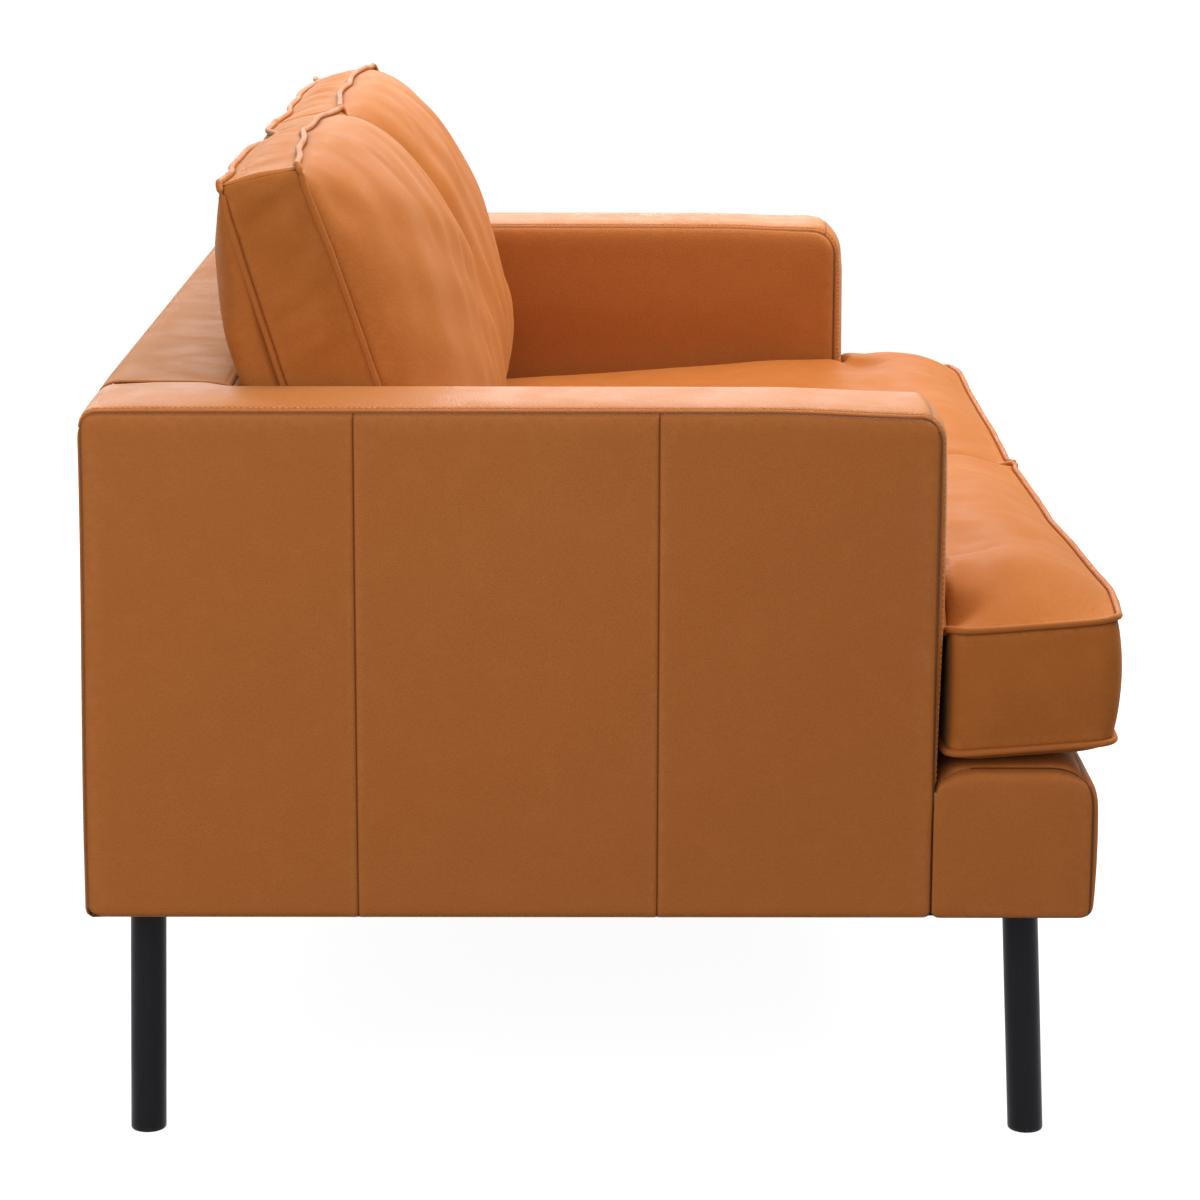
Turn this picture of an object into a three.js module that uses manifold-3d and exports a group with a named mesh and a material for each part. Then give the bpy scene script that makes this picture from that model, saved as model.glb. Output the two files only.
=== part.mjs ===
// Two-seat upholstered sofa: a timber frame on four turned legs, sinuous springs, foam, leather covers and
// four loose cushions. Millimetres, +Z up, +Y to the back. The origin is on the floor, under the sofa's middle.
import * as THREE from 'three';
import { mergeVertices } from 'three/addons/utils/BufferGeometryUtils.js';
import Module from 'manifold-3d';

const wasm = await Module();
wasm.setup();

// ---------------------------------------------------------------- driving dimensions

// Outside
const overall_width = 1500;      // across the outsides of the arms
const overall_depth = 880;       // outside back to the front of the seat cushions
const arm_height = 662;          // floor to the top of the arms and of the back
const leg_height = 221;          // floor to the underside of the upholstery
const arm_width = 138;
const back_width = 120;          // the back's thickness at its top edge
const front_box_height = 134;
const front_box_depth = 141.7;   // how far the front box stands out before the arms
const cushion_overhang = 12;     // how far the seat cushions stand out past the front box
const front_box_radius = 24;     // rounding along the front box's top edges
const front_hem_radius = 8;      // rounding where the front cover turns under

// Materials and fits
const leather = 1.4;
const clearance = 0.3;           // between pieces that bear on each other
const board = 22;                // plywood boards and the top rails
const rail = 28;                 // sawn rails
const hardboard = 3;
const cloth = 1;                 // deck cloth
const dust_cloth = 0.8;
const arm_foam_top = 14;
const arm_foam_side = 12;
const back_foam = 14;
const front_foam = 8;

// Seat
const seat_pitch = 4.4;          // degrees, front edge higher
const seat_boxing = 115;         // cushion side strip, between the two pipings
const seat_crown = 34;           // rise of the top above its piping
const seat_under_crown = 8;      // drop of the underside below its piping
const crown_run = 45;            // width of the rounded border of a seat cushion
const ear_end_inset = 10;        // ear's end to the outside of the arm
const ear_gap = 9;               // arm front to the back of the ear
const cushion_gap = 1;           // between the two cushions of a pair
const seat_side_gap = 2.5;       // seat cushion to the arm
const seat_back_gap = 5;         // seat cushion to the inside back

// Back
const back_depth = 195;          // the back's thickness behind the seat cushions
const back_lean = 18;            // degrees from upright
const back_cushion_length = 376; // along the lean, piping to piping
const back_boxing = 78;
const back_front_crown = 78;
const back_rear_crown = 40;
const back_crown_run = 120;
const back_side_gap = 6;         // back cushion to the arm
const zip_share = 0.8;           // zip length over the width of its edge
const zip_slit = 1;

// Frame
const side_rail_height = 36;
const rear_rail_height = 100;
const stretcher_width = 40;
const stretcher_height = 40;
const shelf_thickness = 12;
const rear_block_depth = 80;
const inner_hem = 66;            // underside of the frame to the hem of the inside covers
const board_hem = 3;             // underside of the upholstery to the hardboards' lower edge

// Springs
const spring_wire = 4;
const springs_per_seat = 4;
const spring_width = 50;
const spring_bars = 14;
const spring_inset = 12;         // end bar to the outer edge of its rail

// Legs
const leg_diameter = 31.5;
const leg_foot_radius = 2.5;
const leg_inset = 75;            // leg's middle to the outside of the arm
const rear_leg_top = 40.4;       // leg's middle to the outside back, at its top
const front_leg_top = 69.2;      // leg's middle to the cushions' front, at its top
const rear_leg_splay = 4.9;      // how much further back the foot stands
const front_leg_splay = 11;      // how much further forward the foot stands
const bolt_diameter = 8;
const bolt_in_leg = 36;
const bolt_in_block = 30;
const dust_hole_margin = 1;

// ---------------------------------------------------------------- worked-out places

const half_width = overall_width / 2;
const inside_x = half_width - arm_width;
const back_y = overall_depth / 2;
const front_y = -overall_depth / 2;
const back_top_y = back_y - back_width;
const box_front_y = front_y + cushion_overhang;
const box_rear_y = box_front_y + front_box_depth;
const arm_front_y = box_rear_y + clearance;
const box_top = leg_height + front_box_height;
const skin = leather + clearance;

const board_x = half_width - skin;               // outside of the arm's hardboard
const timber_x = board_x - hardboard - clearance;
const arm_timber_x = inside_x + skin + arm_foam_side + clearance;
const board_y = back_y - skin;
const timber_back_y = board_y - hardboard - clearance;
const timber_front_y = arm_front_y + skin;
const band_z = arm_height - leather;
const cover_top = band_z - clearance;
const foam_under = cover_top - arm_foam_top;
const timber_top = foam_under - clearance;
const rail_under = timber_top - board;
const dust_top = leg_height + dust_cloth;
const timber_under = dust_top + clearance;

// The seat's plane: it lies on the flat of the front box and falls towards the back.
const slope = Math.tan(THREE.MathUtils.degToRad(seat_pitch));
const rest_y = box_rear_y - front_box_radius;
const seatUnder = (y) => box_top + clearance + (rest_y - y) * slope;
const seat_thickness = seat_under_crown + seat_boxing + seat_crown;
const seatTop = (y) => seatUnder(y) + seat_thickness;
const deckTop = (y) => seatUnder(y) - clearance;
const wireMiddle = (y) => deckTop(y) - cloth - clearance - spring_wire / 2;
const springBearer = (y) => wireMiddle(y) - spring_wire / 2 - clearance;

// The inside back: upright behind the seat cushions, then leaning back to the top edge.
const lean = THREE.MathUtils.degToRad(back_lean);
const knee_y = back_y - back_depth;
const seat_back_y = knee_y - seat_back_gap;
const knee_z = arm_height - (back_top_y - knee_y) / Math.tan(lean);
const back_hem = seatUnder(knee_y) + clearance;
// How far back a layer's face lies at height z, the layer being `behind` the leather's face.
function backFace(z, behind) {
  const bend = knee_z - behind * Math.tan(lean / 2);
  return knee_y + behind + Math.max(0, z - bend) * Math.tan(lean);
}
// The same face as points from z0 up to z1.
function backFaceLine(behind, z0, z1) {
  const bend = knee_z - behind * Math.tan(lean / 2);
  return [[backFace(z0, behind), z0], [knee_y + behind, bend], [backFace(z1, behind), z1]];
}
const timber_behind = skin + back_foam + clearance;

// ---------------------------------------------------------------- materials

const paint = (color, roughness) => new THREE.MeshStandardMaterial({ color, roughness, metalness: 0 });
const hide = paint(0x9e5f36, 0.5);
const timber = paint(0xc9a877, 0.8);
const plywood = paint(0xb8935f, 0.8);
const fibreboard = paint(0x7a5a3c, 0.9);
const foam = paint(0xe9dfc0, 0.95);
const fibre = paint(0xf0ece0, 0.95);
const deck = paint(0x6b4a33, 0.9);
const black_cloth = paint(0x1c1c1e, 0.95);
const black_wood = paint(0x1e1d21, 0.45);
const steel = new THREE.MeshStandardMaterial({ color: 0x9a9ca0, roughness: 0.4, metalness: 1 });

// ---------------------------------------------------------------- shape helpers

// A box between pairs of limits, placed by its mesh's position.
function boxMesh(name, x, y, z, material) {
  const geometry = new THREE.BoxGeometry(x[1] - x[0], y[1] - y[0], z[1] - z[0]);
  const mesh = new THREE.Mesh(geometry, material);
  mesh.position.set((x[0] + x[1]) / 2, (y[0] + y[1]) / 2, (z[0] + z[1]) / 2);
  mesh.name = name;
  return mesh;
}

function named(name, geometry, material) {
  const mesh = new THREE.Mesh(geometry, material);
  mesh.name = name;
  return mesh;
}

// Left limits become right ones by changing sign and order.
const mirrored = (side, near, far) => (side > 0 ? [near, far] : [-far, -near]);

// A cross-section of [y, z] points, carried along X.
function alongX(points, x) {
  const shape = new THREE.Shape(points.map(([y, z]) => new THREE.Vector2(y, z)));
  const geometry = new THREE.ExtrudeGeometry(shape, { depth: x[1] - x[0], bevelEnabled: false, steps: 1 });
  geometry.applyMatrix4(new THREE.Matrix4().makeBasis(
    new THREE.Vector3(0, 1, 0), new THREE.Vector3(0, 0, 1), new THREE.Vector3(1, 0, 0)));
  return geometry.translate(x[0], 0, 0);
}

// Corners [y, z, radius] with each rounded one replaced by points on its arc.
function rounded(corners, divisions = 5) {
  return corners.flatMap(([y, z, radius], i) => {
    if (!radius) return [[y, z]];
    const corner = new THREE.Vector2(y, z);
    const before = corners[(i + corners.length - 1) % corners.length];
    const after = corners[(i + 1) % corners.length];
    const back = new THREE.Vector2(before[0], before[1]).sub(corner).normalize();
    const on = new THREE.Vector2(after[0], after[1]).sub(corner).normalize();
    const middle = corner.clone().addScaledVector(back, radius).addScaledVector(on, radius);
    return Array.from({ length: divisions + 1 }, (_, k) => {
      const angle = (k / divisions) * Math.PI / 2;
      return [middle.x - on.x * radius * Math.cos(angle) - back.x * radius * Math.sin(angle),
        middle.y - on.y * radius * Math.cos(angle) - back.y * radius * Math.sin(angle)];
    });
  });
}

function toSolid(geometry) {
  const bare = geometry.clone();
  bare.deleteAttribute('normal');
  bare.deleteAttribute('uv');
  const merged = mergeVertices(bare, 1e-4);
  return new wasm.Manifold(new wasm.Mesh({
    numProp: 3,
    vertProperties: merged.attributes.position.array,
    triVerts: new Uint32Array(merged.index.array),
  }));
}

function toGeometry(solid) {
  const mesh = solid.getMesh();
  const geometry = new THREE.BufferGeometry();
  geometry.setAttribute('position', new THREE.BufferAttribute(mesh.vertProperties, 3));
  geometry.setIndex(new THREE.BufferAttribute(mesh.triVerts, 1));
  geometry.computeVertexNormals();
  return geometry;
}

function boxSolid(x, y, z) {
  const geometry = new THREE.BoxGeometry(x[1] - x[0], y[1] - y[0], z[1] - z[0]);
  return toSolid(geometry.translate((x[0] + x[1]) / 2, (y[0] + y[1]) / 2, (z[0] + z[1]) / 2));
}

// A flat outline of [x, y] points made into a cushion: straight sides of height `boxing` from z = 0, and a
// face above and below that rises over the width `run` to its own crown.
function cushionGeometry(outline, boxing, run, crown_low, crown_high, segments) {
  const shape = new THREE.Shape(outline.map(([x, y]) => new THREE.Vector2(x, y)));
  const geometry = new THREE.ExtrudeGeometry(shape, {
    depth: boxing, steps: 1, bevelEnabled: true, bevelThickness: 1, bevelSize: run, bevelOffset: -run,
    bevelSegments: segments,
  });
  const position = geometry.attributes.position;
  for (let i = 0; i < position.count; i += 1) {
    const z = position.getZ(i);
    if (z < 0) position.setZ(i, z * crown_low);
    if (z > boxing) position.setZ(i, boxing + (z - boxing) * crown_high);
  }
  return geometry;
}

// ---------------------------------------------------------------- legs

// The leg leans by a shear, so that its foot and its top both stay level.
function splayed(geometry, splay) {
  return geometry.applyMatrix4(new THREE.Matrix4().makeShear(0, 0, 0, 0, 0, -splay / leg_height));
}

function legPieces(side, at_front) {
  const group = new THREE.Group();
  const place = `${at_front ? 'front' : 'rear'}_${side > 0 ? 'right' : 'left'}`;
  const top_y = at_front ? front_y + front_leg_top : back_y - rear_leg_top;
  const splay = at_front ? -front_leg_splay : rear_leg_splay;
  const radius = leg_diameter / 2;
  const bolt = bolt_diameter / 2;
  const bore = bolt + clearance;
  group.position.set(side * (half_width - leg_inset), top_y, dust_top);

  const foot = Array.from({ length: 4 }, (_, k) => {
    const angle = (k / 3) * Math.PI / 2;
    const inward = leg_foot_radius * (1 - Math.sin(angle));
    return [radius - inward, -dust_top + leg_foot_radius * (1 - Math.cos(angle))];
  });
  const bore_end = -bolt_in_leg - clearance;
  const profile = [[0, -dust_top], ...foot, [radius, 0], [bore, 0], [bore, bore_end], [0, bore_end]];
  const turned = profile.map(([r, z]) => new THREE.Vector2(r, z));
  const leg = new THREE.LatheGeometry(turned, 20).rotateX(Math.PI / 2);
  group.add(named(`leg_${place}`, splayed(leg, splay), black_wood));

  const length = bolt_in_leg + bolt_in_block;
  const stud = new THREE.CylinderGeometry(bolt, bolt, length, 12).rotateX(Math.PI / 2);
  stud.translate(0, 0, length / 2 - bolt_in_leg);
  group.add(named(`leg_bolt_${place}`, splayed(stud, splay), steel));

  const hole = new THREE.CylinderGeometry(bore, bore, length + side_rail_height, 12).rotateX(Math.PI / 2);
  const block_y = at_front
    ? [box_front_y + skin + front_foam + clearance + rail + clearance, timber_front_y - clearance]
    : [timber_back_y - rear_block_depth, timber_back_y];
  const block_z = [timber_under, timber_under + side_rail_height];
  const block = boxSolid(mirrored(side, arm_timber_x, timber_x), block_y, block_z)
    .subtract(toSolid(splayed(hole, splay).translate(group.position.x, top_y, dust_top)));
  const block_geometry = toGeometry(block).translate(-group.position.x, -top_y, -dust_top);
  group.add(named(`leg_block_${place}`, block_geometry, timber));
  return group;
}

// ---------------------------------------------------------------- timber frame

function armTimber(side) {
  const group = new THREE.Group();
  const hand = side > 0 ? 'right' : 'left';
  const across = mirrored(side, arm_timber_x, timber_x);
  group.add(boxMesh(`side_rail_${hand}`, across,
    [timber_front_y + board + clearance, timber_back_y - rear_block_depth - clearance],
    [timber_under, timber_under + side_rail_height], timber));
  group.add(boxMesh(`arm_front_board_${hand}`, across, [timber_front_y, timber_front_y + board],
    [timber_under, rail_under - clearance], plywood));
  group.add(boxMesh(`arm_top_rail_${hand}`, across,
    [timber_front_y, backFace(timber_top, timber_behind) - clearance], [rail_under, timber_top], timber));
  group.add(boxMesh(`arm_outer_board_${hand}`, mirrored(side, board_x - hardboard, board_x),
    [timber_front_y, timber_back_y], [leg_height + board_hem, timber_top], fibreboard));

  const foot = timber_under + side_rail_height + clearance;
  const post = [...backFaceLine(timber_behind, foot, rail_under - clearance),
    [timber_back_y, rail_under - clearance], [timber_back_y, foot]];
  const post_x = mirrored(side, arm_timber_x, arm_timber_x + board);
  group.add(named(`back_post_${hand}`, alongX(post, post_x), plywood));
  return group;
}

function crossTimber() {
  const group = new THREE.Group();
  const between = [-arm_timber_x + clearance, arm_timber_x - clearance];
  const full = [-timber_x, timber_x];
  const box_timber_y = box_front_y + skin + front_foam + clearance;
  const shelf_top = box_top - front_box_radius - clearance;

  group.add(boxMesh('front_rail', [-board_x, board_x], [box_timber_y, box_timber_y + rail],
    [timber_under, shelf_top - shelf_thickness - clearance], timber));
  group.add(boxMesh('front_shelf', [-board_x, board_x], [box_timber_y, timber_front_y - clearance],
    [shelf_top - shelf_thickness, shelf_top], plywood));

  const bearer = (y, low) => alongX([[y, low], [y + rail, low], [y + rail, springBearer(y + rail)],
    [y, springBearer(y)]], between);
  group.add(named('front_inner_rail', bearer(timber_front_y, timber_under), timber));
  const stretcher_top = timber_under + stretcher_height;
  group.add(named('back_lower_rail', bearer(knee_y + timber_behind, stretcher_top + clearance), timber));
  group.add(boxMesh('centre_stretcher', [-stretcher_width / 2, stretcher_width / 2],
    [timber_front_y + rail + clearance, timber_back_y - rail - clearance],
    [timber_under, stretcher_top], timber));

  group.add(boxMesh('rear_rail', between, [timber_back_y - rail, timber_back_y],
    [timber_under, timber_under + rear_rail_height], timber));
  group.add(boxMesh('back_top_rail', full, [backFace(timber_top, timber_behind), timber_back_y],
    [rail_under, timber_top], timber));
  group.add(boxMesh('back_outer_board', [-board_x, board_x], [board_y - hardboard, board_y],
    [leg_height + board_hem, timber_top], fibreboard));
  return group;
}

// ---------------------------------------------------------------- springs and cloths

// One sinuous spring: bars across the seat joined by turns, on the seat's slope.
function springMesh(name, x) {
  const first = timber_front_y + spring_inset;
  const last = knee_y + timber_behind + rail - spring_inset;
  const points = Array.from({ length: spring_bars }, (_, k) => {
    const y = first + ((last - first) * k) / (spring_bars - 1);
    const turn = k % 2 ? 1 : -1;
    return [turn, -turn].map((end) => new THREE.Vector3(x + end * spring_width / 2, y, wireMiddle(y)));
  }).flat();
  const path = new THREE.CatmullRomCurve3(points, false, 'catmullrom', 0.6);
  const section = new THREE.Shape(Array.from({ length: 4 }, (_, k) => {
    const angle = (k + 0.5) * Math.PI / 2;
    return new THREE.Vector2(Math.cos(angle), Math.sin(angle)).multiplyScalar(spring_wire / 2);
  }));
  const geometry = new THREE.ExtrudeGeometry(section, {
    steps: points.length * 2, extrudePath: path, bevelEnabled: false });
  return named(name, geometry, steel);
}

function springs() {
  const group = new THREE.Group();
  const pitch = inside_x / springs_per_seat;
  for (const side of [-1, 1]) {
    for (let k = 0; k < springs_per_seat; k += 1) {
      group.add(springMesh(`seat_spring_${side > 0 ? 'right' : 'left'}_${k + 1}`, side * pitch * (k + 0.5)));
    }
  }
  return group;
}

function cloths() {
  const group = new THREE.Group();
  const deck_front = timber_front_y;
  const deck_back = knee_y + timber_behind + rail;
  const deck_section = [[deck_front, deckTop(deck_front) - cloth], [deck_back, deckTop(deck_back) - cloth],
    [deck_back, deckTop(deck_back)], [deck_front, deckTop(deck_front)]];
  group.add(named('deck_cloth', alongX(deck_section, [-inside_x + clearance, inside_x - clearance]), deck));

  const dust_front = box_front_y + skin + front_foam + clearance;
  const dust = new THREE.Shape([[-board_x, dust_front], [board_x, dust_front], [board_x, board_y],
    [-board_x, board_y]].map(([x, y]) => new THREE.Vector2(x, y)));
  for (const side of [-1, 1]) {
    for (const leg_y of [front_y + front_leg_top, back_y - rear_leg_top]) {
      const hole = new THREE.Path();
      const radius = leg_diameter / 2 + dust_hole_margin;
      hole.absarc(side * (half_width - leg_inset), leg_y, radius, 0, Math.PI * 2, true);
      dust.holes.push(hole);
    }
  }
  const sheet = new THREE.ExtrudeGeometry(dust, { depth: dust_cloth, bevelEnabled: false, curveSegments: 5 });
  group.add(named('dust_cover', sheet.translate(0, 0, leg_height), black_cloth));
  return group;
}

// ---------------------------------------------------------------- foam

// Lower front of an arm's inside layer: its hem, stepped up to clear the end of the inner front rail.
function innerHem(hem) {
  const step = springBearer(timber_front_y) + clearance;
  const step_y = timber_front_y + rail + clearance;
  return [[timber_front_y, step], [step_y, step], [step_y, hem]];
}

function foams() {
  const group = new THREE.Group();
  const hem = timber_under + inner_hem;
  for (const side of [-1, 1]) {
    const join_z = foam_under + arm_foam_top / 2;
    const wrap = backFaceLine(timber_behind - clearance, hem, join_z);
    const inner = toSolid(alongX([...innerHem(hem), ...wrap, [timber_front_y, join_z]],
      mirrored(side, inside_x + skin, inside_x + skin + arm_foam_side)));
    const top = boxSolid(mirrored(side, inside_x + skin, board_x), [timber_front_y, board_y],
      [foam_under, cover_top - clearance]);
    group.add(named(`arm_foam_${side > 0 ? 'right' : 'left'}`, toGeometry(top.add(inner)), foam));
  }

  const foam_top = cover_top - clearance;
  const face = backFaceLine(skin, back_hem, foam_top);
  const rear = backFaceLine(skin + back_foam, back_hem, foam_under).reverse();
  group.add(named('back_foam', alongX([...face, [board_y, foam_top], [board_y, foam_under], ...rear],
    [-inside_x + clearance, inside_x - clearance]), foam));

  const out = box_front_y + skin;
  const radius = front_box_radius - skin;
  const shelf_top = box_top - front_box_radius;
  const low = leg_height + front_hem_radius;
  const pad = rounded([[out, low], [out, box_top - skin, radius], [box_rear_y - skin, box_top - skin, radius],
    [box_rear_y - skin, shelf_top], [out + front_foam, shelf_top], [out + front_foam, low]]);
  group.add(named('front_foam', alongX(pad, [-board_x, board_x]), foam));
  return group;
}

// ---------------------------------------------------------------- fixed covers

function armCovers(side) {
  const group = new THREE.Group();
  const hand = side > 0 ? 'right' : 'left';
  group.add(boxMesh(`arm_side_cover_${hand}`, mirrored(side, half_width - leather, half_width),
    [timber_front_y, board_y], [leg_height, cover_top], hide));
  const hem = timber_under + inner_hem;
  const panel = [...innerHem(hem), ...backFaceLine(timber_behind - clearance, hem, cover_top),
    [timber_front_y, cover_top]];
  const panel_x = mirrored(side, inside_x, inside_x + leather);
  group.add(named(`arm_inner_cover_${hand}`, alongX(panel, panel_x), hide));
  return group;
}

// The strip over the arms and the back, turned down over the arms' fronts.
function borderBand() {
  const plan = new THREE.Shape([[-half_width, arm_front_y], [-inside_x, arm_front_y], [-inside_x, back_top_y],
    [inside_x, back_top_y], [inside_x, arm_front_y], [half_width, arm_front_y], [half_width, back_y],
    [-half_width, back_y]].map(([x, y]) => new THREE.Vector2(x, y)));
  const top = new THREE.ExtrudeGeometry(plan, { depth: leather, bevelEnabled: false });
  top.translate(0, 0, band_z);
  const fronts = [-1, 1].map((side) => boxSolid(mirrored(side, inside_x, half_width),
    [arm_front_y, arm_front_y + leather], [box_top + clearance, arm_height]));
  return named('border_band', toGeometry(toSolid(top).add(fronts[0]).add(fronts[1])), hide);
}

function backCovers() {
  const group = new THREE.Group();
  const inner = [...backFaceLine(0, back_hem, cover_top),
    ...backFaceLine(leather, back_hem, cover_top).reverse()];
  group.add(named('back_inner_cover', alongX(inner, [-inside_x + clearance, inside_x - clearance]), hide));
  group.add(boxMesh('back_outer_cover', [-half_width, half_width], [back_y - leather, back_y],
    [leg_height, cover_top], hide));
  return group;
}

// A box of leather with closed ends, open underneath and behind the rounding of its rear edge.
function frontCover() {
  const low = leg_height;
  const outer = rounded([[box_front_y, low, front_hem_radius], [box_front_y, box_top, front_box_radius],
    [box_rear_y, box_top, front_box_radius], [box_rear_y, low]].reverse());
  const radius = front_box_radius - leather;
  const inner = rounded([[box_front_y + leather, low + leather, front_hem_radius - leather],
    [box_front_y + leather, box_top - leather, radius], [box_rear_y - leather, box_top - leather, radius],
    [box_rear_y - leather, low + leather]].reverse());
  const x = [-half_width, half_width];
  const hollow = [-half_width + leather, half_width - leather];
  const opening = boxSolid(hollow, [box_front_y + skin + front_foam, box_rear_y + leather],
    [low - leather, box_top - front_box_radius + clearance]);
  const shell = toSolid(alongX(outer, x)).subtract(toSolid(alongX(inner, hollow))).subtract(opening);
  return named('front_box_cover', toGeometry(shell), hide);
}

// ---------------------------------------------------------------- loose cushions

// Outline of a seat cushion, drawn in from its true edge by `inset`: a long body between the arms, with an
// ear in front of the arm.
function seatOutline(side, inset) {
  const inner = cushion_gap / 2 + inset;
  const beside_arm = inside_x - seat_side_gap - inset;
  const ear_end = half_width - ear_end_inset - inset;
  const front = front_y + inset;
  const ear_back = arm_front_y - ear_gap - inset;
  const back = seat_back_y - inset;
  return [[inner, front], [ear_end, front], [ear_end, ear_back], [beside_arm, ear_back], [beside_arm, back],
    [inner, back]].map(([x, y]) => [side * x, y]);
}

function seatCushion(side) {
  const group = new THREE.Group();
  const hand = side > 0 ? 'right' : 'left';
  const body = (inset) => cushionGeometry(seatOutline(side, inset), seat_boxing, crown_run,
    seat_under_crown - inset, seat_crown - inset, 3)
    .translate(0, 0, seat_under_crown)
    .applyMatrix4(new THREE.Matrix4().makeShear(0, 0, 0, -slope, 0, 0))
    .translate(0, 0, seatUnder(0));
  const middle_x = side * (cushion_gap / 2 + inside_x - seat_side_gap) / 2;
  const zip_half = (inside_x - seat_side_gap) * zip_share / 2;
  const zip_z = seatUnder(seat_back_y) + seat_under_crown + seat_boxing / 2;
  const slit = boxSolid([middle_x - zip_half, middle_x + zip_half],
    [seat_back_y - 3 * leather, seat_back_y + leather], [zip_z - zip_slit / 2, zip_z + zip_slit / 2]);
  const cover = toSolid(body(0)).subtract(toSolid(body(leather))).subtract(slit);
  group.add(named(`seat_cushion_cover_${hand}`, toGeometry(cover), hide));
  group.add(named(`seat_cushion_core_${hand}`, body(skin), foam));
  return group;
}

function backCushion(side) {
  const group = new THREE.Group();
  const hand = side > 0 ? 'right' : 'left';
  // The cushion's rear crown lies on the leaning back, and its lower rear edge on the seat cushion.
  const rear = back_rear_crown + clearance;
  const rise = seatTop(knee_y - rear * Math.cos(lean)) + clearance - knee_z - rear * Math.sin(lean);
  const up = rise / (Math.cos(lean) + slope * Math.sin(lean));
  group.position.set(0, knee_y + up * Math.sin(lean) - rear * Math.cos(lean),
    knee_z + up * Math.cos(lean) + rear * Math.sin(lean));
  group.rotation.x = Math.PI / 2 - lean;

  const near = cushion_gap / 2;
  const far = inside_x - back_side_gap;
  const body = (inset) => {
    const [x0, x1] = mirrored(side, near + inset, far - inset);
    const length = back_cushion_length - inset;
    return cushionGeometry([[x0, inset], [x1, inset], [x1, length], [x0, length]], back_boxing,
      back_crown_run, back_rear_crown - inset, back_front_crown - inset, 5);
  };
  const middle_x = side * (near + far) / 2;
  const zip_half = (far - near) * zip_share / 2;
  const slit = boxSolid([middle_x - zip_half, middle_x + zip_half], [-leather, 3 * leather],
    [(back_boxing - zip_slit) / 2, (back_boxing + zip_slit) / 2]);
  const cover = toSolid(body(0)).subtract(toSolid(body(leather))).subtract(slit);
  group.add(named(`back_cushion_cover_${hand}`, toGeometry(cover), hide));
  group.add(named(`back_cushion_fill_${hand}`, body(skin), fibre));
  return group;
}

// ---------------------------------------------------------------- the sofa

const group = new THREE.Group();
for (const side of [-1, 1]) {
  group.add(legPieces(side, true), legPieces(side, false));
  group.add(armTimber(side), armCovers(side), seatCushion(side), backCushion(side));
}
group.add(crossTimber(), springs(), cloths(), foams(), borderBand(), backCovers(), frontCover());

export default group;
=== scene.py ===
"""Looks of a two-seat leather sofa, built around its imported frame."""

import math

import bpy
import numpy as np
from mathutils import Matrix, Vector


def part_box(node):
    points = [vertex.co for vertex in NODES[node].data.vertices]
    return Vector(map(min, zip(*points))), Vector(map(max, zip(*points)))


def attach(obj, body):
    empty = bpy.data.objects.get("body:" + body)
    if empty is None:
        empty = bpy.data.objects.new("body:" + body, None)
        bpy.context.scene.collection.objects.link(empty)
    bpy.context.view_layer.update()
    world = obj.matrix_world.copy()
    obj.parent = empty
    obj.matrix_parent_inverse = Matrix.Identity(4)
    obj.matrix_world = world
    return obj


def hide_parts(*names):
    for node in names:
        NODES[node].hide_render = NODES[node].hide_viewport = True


bl_info = {
    "name": "Two-Seat Leather Sofa",
    "version": (1, 0, 0),
    "blender": (4, 5, 0),
    "location": "View3D > Sidebar > Sofa",
    "description": "Leather, cushions, welts, stitching and wood for a two-seat sofa",
    "category": "Object",
}

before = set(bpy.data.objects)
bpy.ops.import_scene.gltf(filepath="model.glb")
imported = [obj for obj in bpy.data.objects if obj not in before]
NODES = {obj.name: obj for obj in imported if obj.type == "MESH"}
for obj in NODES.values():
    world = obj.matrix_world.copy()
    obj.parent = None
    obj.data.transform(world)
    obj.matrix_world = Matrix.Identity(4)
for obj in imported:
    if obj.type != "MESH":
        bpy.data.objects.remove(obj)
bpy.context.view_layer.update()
HANDS = {"left": -1.0, "right": 1.0}
TAU = 2 * math.pi


def box(node):
    """Lowest and highest corner of a frame node, as arrays."""
    low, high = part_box(node)
    return np.array(low), np.array(high)


# ---------------------------------------------------------------- places taken from the frame

SIDE_LOW, SIDE_HIGH = box("arm_side_cover_right")
INNER_LOW, INNER_HIGH = box("arm_inner_cover_right")
BAND_LOW, BAND_HIGH = box("border_band")
FRONT_LOW, FRONT_HIGH = box("front_box_cover")
LINING_LOW, LINING_HIGH = box("back_inner_cover")
SEAT_LOW, SEAT_HIGH = box("seat_cushion_cover_right")
PAD_LOW, PAD_HIGH = box("back_cushion_cover_right")
HALF_WIDTH = float(BAND_HIGH[0])
INSIDE_X = float(INNER_LOW[0])
TOP_Z = float(BAND_HIGH[2])
UNDER_Z = float(SIDE_LOW[2])
ARM_FRONT_Y = float(BAND_LOW[1])
REAR_Y = float(BAND_HIGH[1])
BACK_TOP_Y = float(LINING_HIGH[1])
KNEE_Y = float(LINING_LOW[1])


# ---------------------------------------------------------------- settings

def length(name, default, description):
    return bpy.props.FloatProperty(
        name=name, default=default, description=description, unit="LENGTH", precision=4)


def angle(name, degrees, description):
    return bpy.props.FloatProperty(
        name=name, default=math.radians(degrees), description=description, subtype="ANGLE")


def share(name, default, description):
    return bpy.props.FloatProperty(
        name=name, default=default, description=description, min=0.0, max=1.0, subtype="FACTOR")


def colour(name, default, description):
    return bpy.props.FloatVectorProperty(
        name=name, default=default, description=description, size=3, min=0.0, max=1.0, subtype="COLOR")


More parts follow.
